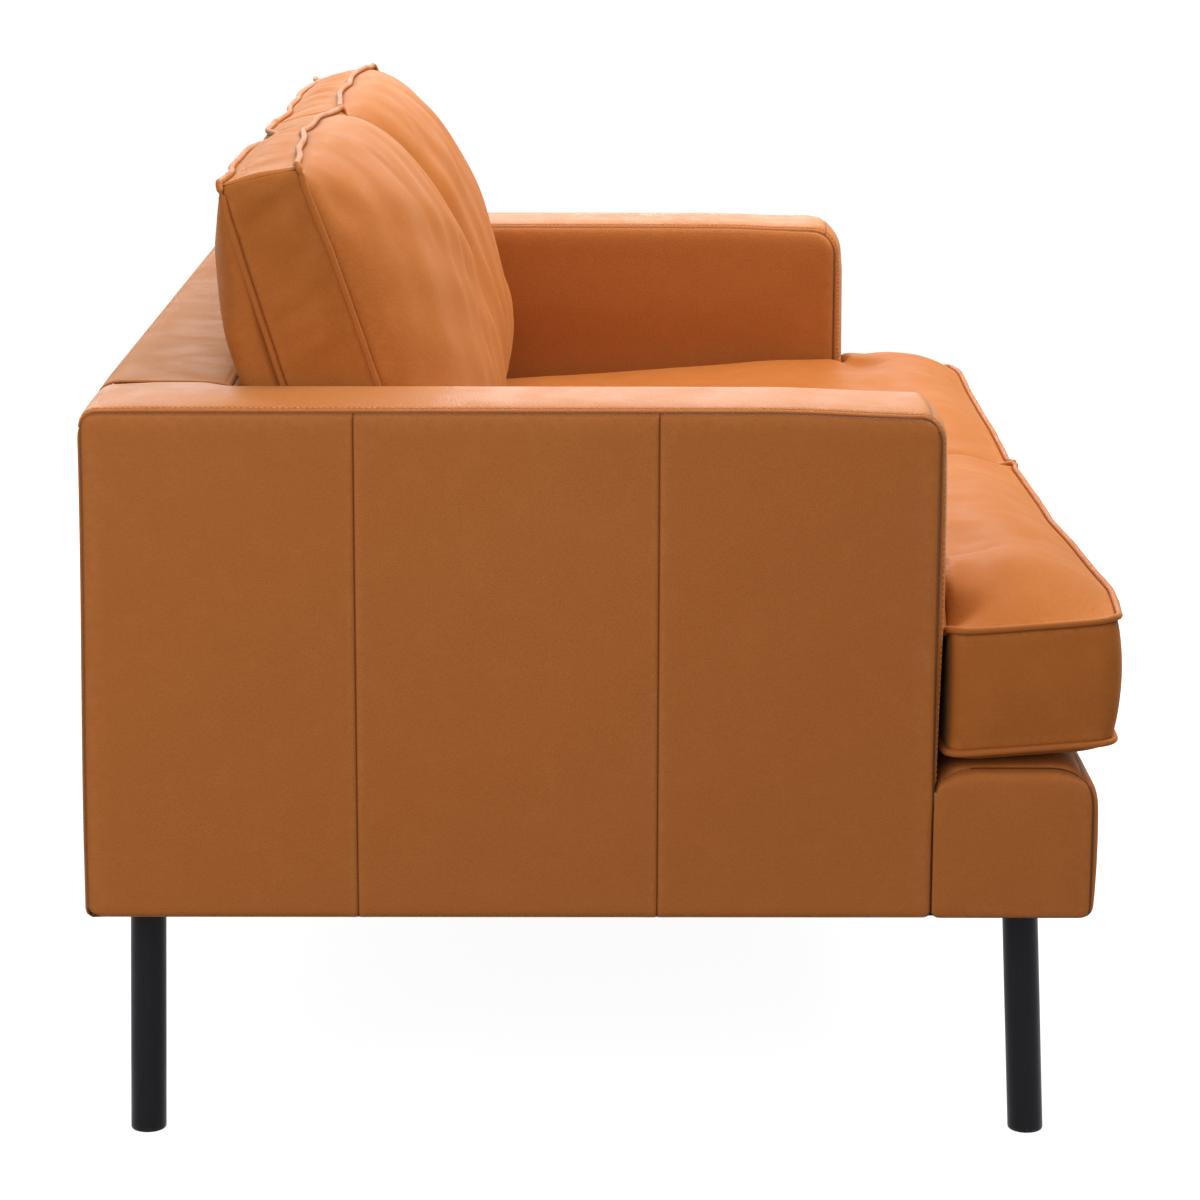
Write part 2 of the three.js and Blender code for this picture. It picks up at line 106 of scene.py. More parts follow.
class SofaUpholstery(bpy.types.PropertyGroup):
    """Sizes of the fixed upholstery."""
    hide: length("Leather", 0.0014, "Thickness of the leather")
    seam_inset: length("Seam Inset", 0.0030, "How far a corner seam lies inside the corner")
    seam_groove: length("Seam Groove", 0.0014, "Depth of a flat seam")
    edge_roll: length("Edge Roll", 0.0110, "Width of the rounding beside a corner seam")
    side_pillow: length("Side Pillow", 0.0020, "How far the outside panels swell")
    inner_pillow: length("Inner Pillow", 0.0030, "How far the inside panels swell")
    inner_roll: length("Inner Roll", 0.0240, "Width of the soft rounding at the top of an arm's inside")
    arm_crown: length("Arm Crown", 0.0045, "Rise of the band along the middle of an arm's top")
    front_crown: length("Front Crown", 0.0075, "Swell of the band down an arm's front")
    back_crown: length("Back Crown", 0.0060, "Rise of the band along the back")
    arm_front_radius: length("Front Radius", 0.0200, "Rounding at the front of an arm's top")
    arm_rear_radius: length("Rear Radius", 0.0150, "Rounding at the rear of the top")
    rear_seam: length("Rear Seam", 0.6480, "Height of the seam between the band and the outside back")
    hem_drop: length("Hem Drop", 0.0025, "How far the upholstery swells below the frame")
    rear_panel_seam: length("Rear Panel Seam", 0.2098, "Place along the arm of its rear panel seam")
    front_panel_seam: length("Front Panel Seam", -0.0484, "Place along the arm of its front panel seam")
    back_panel_seam: length("Back Panel Seam", 0.2500, "Distance of the outside back's seams from the middle")
    front_box_radius: length("Front Box Radius", 0.0260, "Rounding of the front box")
    front_box_roll: length("Front Box Roll", 0.0150,
                           "How far the end panels of the front box roll over its top")
    front_box_swell: length("Front Box Swell", 0.0035, "Swell of the front box between its edges")
    stitch_pitch: length("Stitch Pitch", 0.0050, "Distance from one stitch to the next")
    stitch_length: length("Stitch Length", 0.0036, "Visible length of a stitch")
    stitch_width: length("Stitch Width", 0.0011, "Thickness of the thread")
    stitch_inset: length("Stitch Inset", 0.0050, "Distance of a topstitch from its seam")
    zip_width: length("Zip Width", 0.0140, "Width of a cushion zip's tape")
    zip_pitch: length("Zip Pitch", 0.0026, "Distance from one zip tooth to the next")
    zip_teeth: length("Zip Teeth", 0.0058, "Width of the row of zip teeth")


class SofaCushions(bpy.types.PropertyGroup):
    """Sizes of the loose cushions."""
    seat_pitch: angle("Seat Pitch", 4.4, "How far the seat falls towards the back")
    seat_boxing: length("Seat Boxing", 0.1080, "Height of a seat cushion's side strip")
    seat_crown: length("Seat Crown", 0.0410, "Rise of a seat cushion's top above its welt")
    seat_under_crown: length("Seat Under Crown", 0.0080, "Drop of a seat cushion's underside")
    seat_crown_run: length("Seat Crown Run", 0.0520, "Width of the rounded border of a seat cushion")
    seat_corner: length("Seat Corner", 0.0150, "Corner radius of a seat cushion")
    seat_swell: length("Seat Swell", 0.0070, "Swell of the front strip of a seat cushion")
    ear_depth: length("Ear Depth", 0.1450, "Depth of a seat cushion's ear in front of the arm")
    body_width: length("Body Width", 0.6090, "Width of a seat cushion between the arms")
    pad_lean: angle("Back Lean", 18.0, "Lean of the back cushions")
    pad_length: length("Back Cushion Length", 0.3760, "Length of a back cushion along its lean")
    pad_boxing: length("Back Cushion Boxing", 0.0780, "Width of a back cushion's side strip")
    pad_crown: length("Back Cushion Crown", 0.0790, "Swell of a back cushion's face")
    pad_rear_crown: length("Back Cushion Rear Crown", 0.0398, "Swell of a back cushion's rear")
    pad_crown_run: length("Back Cushion Crown Run", 0.1780, "Width of the rounded border of its face")
    pad_corner: length("Back Cushion Corner", 0.0120, "Corner radius of a back cushion")
    welt: length("Welt", 0.0060, "Diameter of the welts")
    grid: length("Grid", 0.0090, "Distance between the surface's points before it is refined")
    pressure: bpy.props.FloatProperty(name="Pressure", default=4.0,
                                      description="Pressure that fills the cushions")
    slack: share("Slack", 0.02, "Share by which the leather is larger than its filling")
    reach: length("Reach", 0.0220, "Farthest that filling a cushion may move its leather")
    give: share("Give", 0.10, "Share of the filling's broad swelling that is kept")
    folds: share("Folds", 0.28, "Share of the filling's folds that is kept")


class SofaFinishes(bpy.types.PropertyGroup):
    """Colours."""
    leather: colour("Leather", (0.420, 0.133, 0.030), "Main colour of the leather")
    leather_deep: colour("Leather, Deep", (0.330, 0.094, 0.016), "Colour in the leather's pores and seams")
    # Lighter leather for random tone and rubbed wear; beside the seams it also makes a painted highlight.
    leather_worn: colour("Leather, Worn", (0.520, 0.185, 0.050), "Colour where the leather is rubbed")
    # Painted shade: a near-black laid into every seam for the shadow in its crease.
    leather_seam: colour("Leather, Seams", (0.060, 0.013, 0.002), "Colour deep in a seam")
    thread: colour("Thread", (0.640, 0.270, 0.080), "Colour of the thread")
    leg: colour("Leg", (0.0085, 0.0080, 0.0110), "Colour of the painted legs")
    timber: colour("Timber", (0.560, 0.380, 0.200), "Colour of the frame's timber")
    steel: colour("Steel", (0.420, 0.420, 0.430), "Colour of springs and bolts")


# ---------------------------------------------------------------- surfaces as arrays

def ease(t):
    """Zero below 0, one above 1, and smooth between."""
    t = np.clip(t, 0.0, 1.0)
    return t * t * (3 - 2 * t)


def shoulder(t, power=2.0):
    """A rounded shoulder: a quarter of a superellipse from 0 at t = 0 to 1 at t = 1."""
    t = np.clip(t, 0.0, 1.0)
    return (1 - (1 - t) ** power) ** (1 / power)


def grid_lines(start, end, step, edge=(0.0, 0.0025, 0.006, 0.011, 0.018)):
    """Grid lines from start to end, close together at both ends and `step` apart between."""
    edge = np.array(edge)
    span = end - start
    middle = np.linspace(edge[-1], span - edge[-1], max(2, round((span - 2 * edge[-1]) / step)) + 1)
    return start + np.concatenate([edge[:-1], middle, span - edge[-2::-1]])


def with_seams(lines, seams, near=(0.0, 0.0009, 0.0022, 0.0050)):
    """The grid lines with a tight group around each seam."""
    near = np.array(near)
    for seam in seams:
        kept = lines[np.abs(lines - seam) > near[-1] + 0.003]
        lines = np.unique(np.concatenate([kept, seam - near, seam + near]))
    return lines


def rounded(a, b, corners):
    """Points (a, b) with square corners turned into arcs. A corner is (a, b, inward a, inward b, radius):
    its square is carried onto a quarter disc."""
    a, b = a.copy(), b.copy()
    for ca, cb, ia, ib, radius in corners:
        p = 1 - (a - ca) * ia / radius
        q = 1 - (b - cb) * ib / radius
        inside = (p > 0) & (q > 0) & (p <= 1.0001) & (q <= 1.0001)
        p2 = p * np.sqrt(np.clip(1 - q * q / 2, 0, 1))
        q2 = q * np.sqrt(np.clip(1 - p * p / 2, 0, 1))
        a = np.where(inside, ca + ia * radius * (1 - p2), a)
        b = np.where(inside, cb + ib * radius * (1 - q2), b)
    return a, b


def spline(points, count, closed=False):
    """A smooth curve through the points, as `count` points equally spaced along it."""
    points = np.asarray(points, float)
    ends = (points[-1:], points[:2]) if closed else (
        2 * points[:1] - points[1:2], 2 * points[-1:] - points[-2:-1])
    padded = np.concatenate([ends[0], points, ends[1]])
    spans = len(padded) - 3
    t = np.linspace(0, spans, spans * 12 + 1)
    k = np.minimum(t.astype(int), spans - 1)
    f = (t - k)[:, None]
    p0, p1, p2, p3 = (padded[k + i] for i in range(4))
    fine = 0.5 * (2 * p1 + (p2 - p0) * f + (2 * p0 - 5 * p1 + 4 * p2 - p3) * f ** 2
                  + (3 * p1 - p0 - 3 * p2 + p3) * f ** 3)
    along = np.concatenate([[0], np.cumsum(np.linalg.norm(np.diff(fine, axis=0), axis=1))])
    at = np.linspace(0, along[-1], count + 1)[:-1] if closed else np.linspace(0, along[-1], count)
    return np.stack([np.interp(at, along, fine[:, i]) for i in range(fine.shape[1])], 1)


def waves(t, seed, count, amplitude, first=1):
    """A sum of `count` sine waves over t, with seeded phases, falling off with their number."""
    random = np.random.default_rng(seed)
    phases = random.uniform(0, TAU, count)
    sizes = random.uniform(0.5, 1.0, count) / np.arange(first, first + count) ** 0.5
    numbers = np.arange(first, first + count)
    total = (sizes * np.sin(TAU * numbers * np.asarray(t)[..., None] + phases)).sum(-1)
    return amplitude * total / np.sqrt((sizes ** 2).sum())


def grid_quads(rows, columns):
    """Faces of a rows x columns grid of points numbered row by row."""
    k = np.arange(rows * columns).reshape(rows, columns)
    return np.stack([k[:-1, :-1], k[:-1, 1:], k[1:, 1:], k[1:, :-1]], -1).reshape(-1, 4)


def tube(path, radius, sides=10, closed=True):
    """Points and faces of a tube: a circle carried along the path, turned as little as possible."""
    path = np.asarray(path, float)
    count = len(path)
    ahead = (np.roll(path, -1, 0) - np.roll(path, 1, 0)) if closed else np.gradient(path, axis=0)
    ahead /= np.linalg.norm(ahead, axis=1, keepdims=True)
    reference = np.array([0.31, 0.17, 0.93])
    first = np.cross(ahead, reference)
    first /= np.linalg.norm(first, axis=1, keepdims=True)
    second = np.cross(ahead, first)
    turn = np.linspace(0, TAU, sides, endpoint=False)
    radius = np.broadcast_to(radius, count)[:, None, None]
    points = path[:, None] + radius * (
        np.cos(turn)[None, :, None] * first[:, None] + np.sin(turn)[None, :, None] * second[:, None])
    k = np.arange(count * sides).reshape(count, sides)
    on = np.roll(k, -1, 0) if closed else k[1:]
    k = k if closed else k[:-1]
    faces = np.stack([k, np.roll(k, -1, 1), np.roll(on, -1, 1), on], -1).reshape(-1, 4)
    return points.reshape(-1, 3), faces


def boxed(us, vs, cells, corners, levels):
    """Topology of a boxed cushion: the grid of `cells` above and below, and `levels` rows of strip
    between them around the boundary. Returns the grid nodes, the boundary loop as rows of `nodes`,
    and the faces, numbered top, bottom, then the strip's inner rows."""
    used = np.zeros((len(us), len(vs)), bool)
    for di in (0, 1):
        for dj in (0, 1):
            used[di:len(us) - 1 + di, dj:len(vs) - 1 + dj] |= cells
    number = np.full(used.shape, -1)
    number[used] = np.arange(used.sum())
    nodes = np.argwhere(used)
    i, j = np.argwhere(cells).T
    top = np.stack([number[i, j], number[i + 1, j], number[i + 1, j + 1], number[i, j + 1]], -1)
    path = []
    for (i0, j0), (i1, j1) in zip(corners, corners[1:] + corners[:1]):
        steps = max(abs(i1 - i0), abs(j1 - j0))
        path.append(np.stack([np.linspace(i0, i1, steps, endpoint=False),
                              np.linspace(j0, j1, steps, endpoint=False)], 1))
    path = np.rint(np.concatenate(path)).astype(int)
    loop = number[path[:, 0], path[:, 1]]
    count, around = len(nodes), len(loop)
    rows = np.arange((levels - 1) * around).reshape(levels - 1, around) + 2 * count
    rows = np.concatenate([loop[None], rows, loop[None] + count])
    after = np.roll(rows, -1, 1)
    strip = np.stack([rows[1:], after[1:], after[:-1], rows[:-1]], -1).reshape(-1, 4)
    return nodes, loop, np.concatenate([top, top[:, ::-1] + count, strip])


# ---------------------------------------------------------------- pieces

def piece(name, points, faces, body, material, stands_for=(), slot="leather", seam=None, flat=False):
    """A new mesh at the origin that rides on a body. `seam` is each point's distance to its nearest seam,
    which the leather uses to paint shade into the seam.
    """
    mesh = bpy.data.meshes.new(name)
    mesh.from_pydata(np.asarray(points, float), [], faces)
    mesh.polygons.foreach_set("use_smooth", np.full(len(mesh.polygons), not flat))
    if seam is not None:
        mesh.attributes.new("seam", "FLOAT", "POINT").data.foreach_set(
            "value", np.asarray(seam, np.float32).ravel())
    mesh.materials.append(material)
    made = bpy.data.objects.new(name, mesh)
    bpy.context.scene.collection.objects.link(made)
    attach(made, body)
    if stands_for:
        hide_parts(*stands_for)
    return made


def mirror(points, faces, hand):
    """The right-hand points and faces, or their reflection for the left, still facing outwards."""
    points = np.array(points, float)
    if hand < 0:
        points[..., 0] *= -1
        faces = faces[:, ::-1]
    return points, faces


def thicken(made, thickness):
    """Gives a sheet its thickness, on the inside."""
    wall = made.modifiers.new("Thickness", "SOLIDIFY")
    wall.thickness = thickness
    wall.offset = -1
    wall.use_even_offset = True
    return made


def refine(made, loops, levels=1):
    """Subdivides a piece and keeps its seams, given as loops of point numbers, sharp."""
    mesh = made.data
    ends = np.empty(len(mesh.edges) * 2, np.int64)
    mesh.edges.foreach_get("vertices", ends)
    ends = np.sort(ends.reshape(-1, 2), 1)
    key = ends[:, 0] * len(mesh.vertices) + ends[:, 1]
    pairs = np.sort(np.concatenate([np.stack([k, np.roll(k, -1)], 1) for k in loops]), 1)
    sharp = np.isin(key, pairs[:, 0] * len(mesh.vertices) + pairs[:, 1])
    mesh.attributes.new("crease_edge", "FLOAT", "EDGE").data.foreach_set("value", sharp.astype(np.float32))
    finer = made.modifiers.new("Refine", "SUBSURF")
    finer.levels = finer.render_levels = levels
    return made


def shown_points(made):
    """The piece's points and normals with its modifiers applied."""
    shape = made.evaluated_get(bpy.context.evaluated_depsgraph_get()).to_mesh()
    points, normals = np.empty(len(shape.vertices) * 3), np.empty(len(shape.vertices) * 3)
    shape.vertices.foreach_get("co", points)
    shape.vertices.foreach_get("normal", normals)
    return points.reshape(-1, 3), normals.reshape(-1, 3)


# ---------------------------------------------------------------- shader nodes

def node(tree, kind, links=None, **settings):
    """Adds a shader node. `links` gives its inputs, as values or as the sockets that feed them."""
    made = tree.nodes.new("ShaderNode" + kind)
    for name, value in settings.items():
        setattr(made, name, value)
    for name, value in (links or {}).items():
        if isinstance(value, bpy.types.NodeSocket):
            tree.links.new(value, made.inputs[name])
        else:
            made.inputs[name].default_value = value
    return made


def maths(tree, operation, *values, clamp=False):
    return node(tree, "Math", dict(enumerate(values)), operation=operation, use_clamp=clamp).outputs[0]


def remap(tree, value, low, high, to_low=0.0, to_high=1.0):
    """Carries low..high smoothly onto to_low..to_high."""
    return node(tree, "MapRange", {0: value, 1: low, 2: high, 3: to_low, 4: to_high},
                interpolation_type="SMOOTHSTEP").outputs[0]


def blend_colours(tree, factor, first, second, mode="MIX"):
    return node(tree, "Mix", {0: factor, 6: first, 7: second}, data_type="RGBA", blend_type=mode).outputs[2]


def noise(tree, vector, scale, detail=2.0, rough=0.5, distortion=0.0):
    return node(tree, "TexNoise", {"Vector": vector, "Scale": scale, "Detail": detail, "Roughness": rough,
                                   "Distortion": distortion}).outputs[0]


def effect(name, inputs, outputs):
    """A new node group with named sockets, as its tree, its inputs' sockets and its output node."""
    tree = bpy.data.node_groups.new(name, "ShaderNodeTree")
    for socket, kind, default in inputs:
        made = tree.interface.new_socket(name=socket, in_out="INPUT", socket_type="NodeSocket" + kind)
        if default is not None:
            made.default_value = default
    for socket, kind in outputs:
        tree.interface.new_socket(name=socket, in_out="OUTPUT", socket_type="NodeSocket" + kind)
    return tree, tree.nodes.new("NodeGroupInput").outputs, tree.nodes.new("NodeGroupOutput").inputs


def use(tree, group, **values):
    """Places an effect in a material. A value's name is its input's with underscores for spaces."""
    made = tree.nodes.new("ShaderNodeGroup")
    made.node_tree = bpy.data.node_groups[group]
    for name, value in values.items():
        socket = made.inputs[name.replace("_", " ")]
        if isinstance(value, bpy.types.NodeSocket):
            tree.links.new(value, socket)
        else:
            socket.default_value = value
    return made.outputs


def make_effects():
    """The effects that several materials share."""
    # Pebbled grain: cells of a distorted Voronoi pattern over finer noise, and a mask of the pits between.
    tree, given, out = effect(
        "Hide Grain", [("Vector", "Vector", None), ("Pebbles", "Float", 600.0),
                       ("Fineness", "Float", 1500.0)],
        [("Height", "Float"), ("Pits", "Float")])
    bend = node(tree, "TexNoise", {"Vector": given["Vector"], "Scale": 240.0, "Detail": 2.0}).outputs[1]
    moved = node(tree, "VectorMath", {0: bend, 1: (0.0011, 0.0011, 0.0011)}, operation="MULTIPLY").outputs[0]
    at = node(tree, "VectorMath", {0: given["Vector"], 1: moved}, operation="ADD").outputs[0]
    cells = node(tree, "TexVoronoi", {"Vector": at, "Scale": given["Pebbles"]}).outputs[0]
    fine = noise(tree, given["Vector"], given["Fineness"], 2.0)
    pits = remap(tree, cells, 0.35, 0.75)
    high = maths(tree, "SUBTRACT", 1.0, cells)
    tree.links.new(maths(tree, "MULTIPLY_ADD", fine, 0.45, high), out["Height"])
    tree.links.new(pits, out["Pits"])

    # Tone: three colours laid over each other by broad and by middling noise.
    tree, given, out = effect(
        "Tone", [("Vector", "Vector", None), ("Base", "Color", None), ("Deep", "Color", None),
                 ("Light", "Color", None), ("Broad", "Float", 3.0), ("Strength", "Float", 0.3)],
        [("Color", "Color")])
    broad = remap(tree, noise(tree, given["Vector"], given["Broad"], 3.0), 0.35, 0.7)
    middling = remap(tree, noise(tree, given["Vector"], 38.0, 3.0, 0.6), 0.45, 0.75)
    deeper = blend_colours(tree, maths(tree, "MULTIPLY", broad, given["Strength"]), given["Base"],
                           given["Deep"])
    lighter = blend_colours(tree, maths(tree, "MULTIPLY", middling, given["Strength"]), deeper,
                            given["Light"])
    tree.links.new(lighter, out["Color"])

    # Seam shade and wear: painted shade darkens the seam itself, and the roll beside it is lighter, partly
    # rubbed wear and partly a painted highlight.
    tree, given, out = effect(
        "Seam Shade And Wear", [("Color", "Color", None), ("Deep", "Color", None), ("Light", "Color", None),
                      ("Distance", "Float", 1.0), ("Vector", "Vector", None), ("Line", "Float", 0.0010),
                      ("Rub", "Float", 0.25)],
        [("Color", "Color"), ("Rubbed", "Float")])
    # Painted shade: near is one in the seam and fades out a Line's width from it.
    near = maths(tree, "SUBTRACT", 1.0, remap(tree, given["Distance"], 0.0, given["Line"]))
    uneven = noise(tree, given["Vector"], 120.0, 3.0, 0.6)
    # The roll beside the seam is lighter: partly rubbed wear, partly a painted highlight.
    roll = maths(tree, "MULTIPLY", remap(tree, given["Distance"], 0.001, 0.004),
                 maths(tree, "SUBTRACT", 1.0, remap(tree, given["Distance"], 0.005, 0.014)))
    rubbed = maths(tree, "MULTIPLY", maths(tree, "MULTIPLY", roll, remap(tree, uneven, 0.3, 0.7)),
                   given["Rub"])
    wear_and_painted_light = blend_colours(tree, rubbed, given["Color"], given["Light"])
    tree.links.new(blend_colours(tree, maths(tree, "MULTIPLY", near, 0.85), wear_and_painted_light, given["Deep"]),
                   out["Color"])
    tree.links.new(rubbed, out["Rubbed"])

    # Wood figure: long noise along the board, and rings, as a colour mask and a height.
    tree, given, out = effect(
        "Wood Figure", [("Vector", "Vector", None), ("Rings", "Float", 26.0)],
        [("Figure", "Float"), ("Fibre", "Float")])
    swirl = noise(tree, given["Vector"], 5.0, 3.0, 0.5, 0.4)
    rings = maths(tree, "FRACT", maths(tree, "MULTIPLY", swirl, given["Rings"]))
    ring = maths(tree, "MULTIPLY", remap(tree, rings, 0.0, 0.65),
                 maths(tree, "SUBTRACT", 1.0, remap(tree, rings, 0.85, 1.0)))
    fibre = noise(tree, given["Vector"], 160.0, 4.0, 0.6)
    tree.links.new(maths(tree, "MULTIPLY_ADD", fibre, 0.3, maths(tree, "MULTIPLY", ring, 0.7)), out["Figure"])
    tree.links.new(fibre, out["Fibre"])

    # Weave: crossed threads as a height and as a mask of the gaps between them.
    tree, given, out = effect(
        "Weave", [("Vector", "Vector", None), ("Threads", "Float", 900.0)],
        [("Height", "Float"), ("Gaps", "Float")])
    parts = node(tree, "SeparateXYZ", {0: given["Vector"]}).outputs
    across = maths(tree, "SINE",
                   maths(tree, "MULTIPLY", parts[0], maths(tree, "MULTIPLY", given["Threads"], TAU)))
    along = maths(tree, "SINE",
                  maths(tree, "MULTIPLY", parts[1], maths(tree, "MULTIPLY", given["Threads"], TAU)))
    height = maths(tree, "MULTIPLY", across, along)
    tree.links.new(maths(tree, "MULTIPLY_ADD", height, 0.5, 0.5), out["Height"])
    tree.links.new(remap(tree, maths(tree, "ABSOLUTE", height), 0.25, 0.0), out["Gaps"])


def surface(name, base_roughness, **constants):
    """A new material with its tree, its shader and its Object coordinates."""
    material = bpy.data.materials.new(name)
    material.use_nodes = True
    tree = material.node_tree
    shader = tree.nodes["Principled BSDF"]
    shader.inputs["Roughness"].default_value = base_roughness
    for socket, value in constants.items():
        shader.inputs[socket.replace("_", " ")].default_value = value
    return material, tree, shader, node(tree, "TexCoord").outputs["Object"]


def bump(tree, shader, height, distance, strength=1.0, onto=None):
    links = {"Height": height, "Distance": distance, "Strength": strength}
    if onto is not None:
        links["Normal"] = onto
    normal = node(tree, "Bump", links).outputs[0]
    tree.links.new(normal, shader.inputs["Normal"])
    return normal


def rgba(value, by=1.0):
    return (*[c * by for c in value], 1.0)


def leather(name, seams=True, pebbles=700.0, depth=0.00022, rough=0.50, rub=0.25, tone=0.3, line=0.0014,
            gloss=0.10,
            sheen=0.12):
    """Semi-matt pebbled leather, with painted shade in its seams and the rolls beside them lighter, partly
    rubbed wear and partly a painted highlight.
    """
    colours = bpy.context.scene.sofa_finishes
    material, tree, shader, at = surface(name, rough, Specular_IOR_Level=gloss, Sheen_Weight=sheen,
                                         Sheen_Roughness=0.35, Sheen_Tint=(1.0, 0.62, 0.27, 1.0))
    grain = use(tree, "Hide Grain", Vector=at, Pebbles=pebbles)
    tone_out = use(tree, "Tone", Vector=at, Base=rgba(colours.leather), Deep=rgba(colours.leather_deep),
                   Light=rgba(colours.leather_worn), Strength=tone)
    colour_out = blend_colours(tree, maths(tree, "MULTIPLY", grain["Pits"], 0.32), tone_out["Color"],
                               rgba(colours.leather_deep))
    height = maths(tree, "MULTIPLY", grain["Height"], 1.0)
    roughness = remap(tree, noise(tree, at, 26.0, 3.0), 0.3, 0.7, rough - 0.05, rough + 0.06)
    if seams:
        # Painted shade fills each seam; the roll beside it is lighter, partly wear and partly painted
        # highlight, and a little less rough.
        away = node(tree, "Attribute", attribute_name="seam").outputs["Fac"]
        wear_and_painted_light = use(tree, "Seam Shade And Wear", Color=colour_out, Deep=rgba(colours.leather_seam),
                   Light=rgba(colours.leather_worn), Distance=away, Vector=at, Rub=rub, Line=line)
        colour_out = wear_and_painted_light["Color"]
        roughness = maths(tree, "SUBTRACT", roughness, maths(tree, "MULTIPLY", wear_and_painted_light["Rubbed"], 0.12))
    tree.links.new(colour_out, shader.inputs["Base Color"])
    tree.links.new(roughness, shader.inputs["Roughness"])
    bump(tree, shader, height, depth)
    return material


def painted_wood():
    """Turned wood under satin black paint: a trace of the fibre shows, and the foot is rubbed."""
    colours = bpy.context.scene.sofa_finishes
    material, tree, shader, at = surface("Painted Legs", 0.36, Specular_IOR_Level=0.12)
    along = node(tree, "Mapping", {"Vector": at, "Scale": (1.0, 1.0, 0.06)}).outputs[0]
    fibre = noise(tree, along, 520.0, 4.0, 0.6)
    cloudy = noise(tree, at, 18.0, 3.0)
    foot = node(tree, "SeparateXYZ", {0: at}).outputs[2]
    rubbed = maths(tree, "MULTIPLY", maths(tree, "SUBTRACT", 1.0, remap(tree, foot, 0.0005, 0.006)),
                   remap(tree, noise(tree, at, 420.0, 3.0), 0.45, 0.62))
    base = blend_colours(tree, remap(tree, fibre, 0.35, 0.75, 0.0, 0.5), rgba(colours.leg),
                         rgba(colours.leg, 1.7))
    tree.links.new(blend_colours(tree, maths(tree, "MULTIPLY", rubbed, 0.5), base, (0.10, 0.085, 0.07, 1.0)),
                   shader.inputs["Base Color"])
    tree.links.new(remap(tree, cloudy, 0.3, 0.7, 0.30, 0.42), shader.inputs["Roughness"])
    bump(tree, shader, fibre, 0.00006)
    return material


def wood(name, along, tint=1.0, rings=26.0, plies=0.0):
    """Sawn timber with its figure along an axis, or plywood when `plies` gives its layers' thickness."""
    colours = bpy.context.scene.sofa_finishes
    material, tree, shader, at = surface(name, 0.62, Specular_IOR_Level=0.3)
    scale = [0.12 if axis == along else 1.0 for axis in range(3)]
    drawn = node(tree, "Mapping", {"Vector": at, "Scale": scale}).outputs[0]
    figure = use(tree, "Wood Figure", Vector=drawn, Rings=rings)
    base = blend_colours(tree, figure["Figure"], rgba(colours.timber, tint),
                         rgba(colours.timber, 0.58 * tint))
    if plies:
        height = node(tree, "SeparateXYZ", {0: at}).outputs[along]
        layer = maths(tree, "FRACT", maths(tree, "DIVIDE", height, plies))
        base = blend_colours(tree, maths(tree, "MULTIPLY", maths(tree, "GREATER_THAN", layer, 0.5), 0.35),
                             base,
                             rgba(colours.timber, 0.35 * tint))
    tree.links.new(base, shader.inputs["Base Color"])
    tree.links.new(remap(tree, figure["Fibre"], 0.3, 0.7, 0.55, 0.72), shader.inputs["Roughness"])
    bump(tree, shader, figure["Fibre"], 0.0003)
    return material


def metal(name, base, rough):
    """Drawn steel with a thin uneven film of oil."""
    material, tree, shader, at = surface(name, rough, Metallic=1.0)
    film = noise(tree, at, 60.0, 4.0, 0.6)
    tree.links.new(blend_colours(tree, remap(tree, film, 0.4, 0.7), rgba(base), rgba(base, 0.62)),
                   shader.inputs["Base Color"])
    tree.links.new(remap(tree, film, 0.3, 0.7, rough - 0.08, rough + 0.12), shader.inputs["Roughness"])
    bump(tree, shader, noise(tree, at, 900.0, 2.0), 0.00005)
    return material


def cloth_surface(name, base, threads, rough=0.85):
    """Woven or bonded cloth."""
    material, tree, shader, at = surface(name, rough, Specular_IOR_Level=0.2)
    weave = use(tree, "Weave", Vector=at, Threads=threads)
    cloudy = remap(tree, noise(tree, at, 14.0, 4.0, 0.6), 0.35, 0.7)
    toned = blend_colours(tree, cloudy, rgba(base), rgba(base, 0.72))
    tree.links.new(blend_colours(tree, maths(tree, "MULTIPLY", weave["Gaps"], 0.5), toned, rgba(base, 0.3)),
                   shader.inputs["Base Color"])
    tree.links.new(remap(tree, cloudy, 0.0, 1.0, rough - 0.04, rough + 0.05), shader.inputs["Roughness"])
    bump(tree, shader, weave["Height"], 0.0004)
    return material


def crumb(name, base, scale, depth):
    """Foam or pressed fibre: fine cells over broad blotches."""
    material, tree, shader, at = surface(name, 0.9, Specular_IOR_Level=0.15)
    cells = node(tree, "TexVoronoi", {"Vector": at, "Scale": scale}).outputs[0]
    blotch = remap(tree, noise(tree, at, 30.0, 4.0), 0.3, 0.7)
    tree.links.new(blend_colours(tree, maths(tree, "MULTIPLY", blotch, 0.4), rgba(base), rgba(base, 0.7)),
                   shader.inputs["Base Color"])
    tree.links.new(remap(tree, cells, 0.0, 0.6, 0.82, 0.95), shader.inputs["Roughness"])
    bump(tree, shader, cells, depth)
    return material


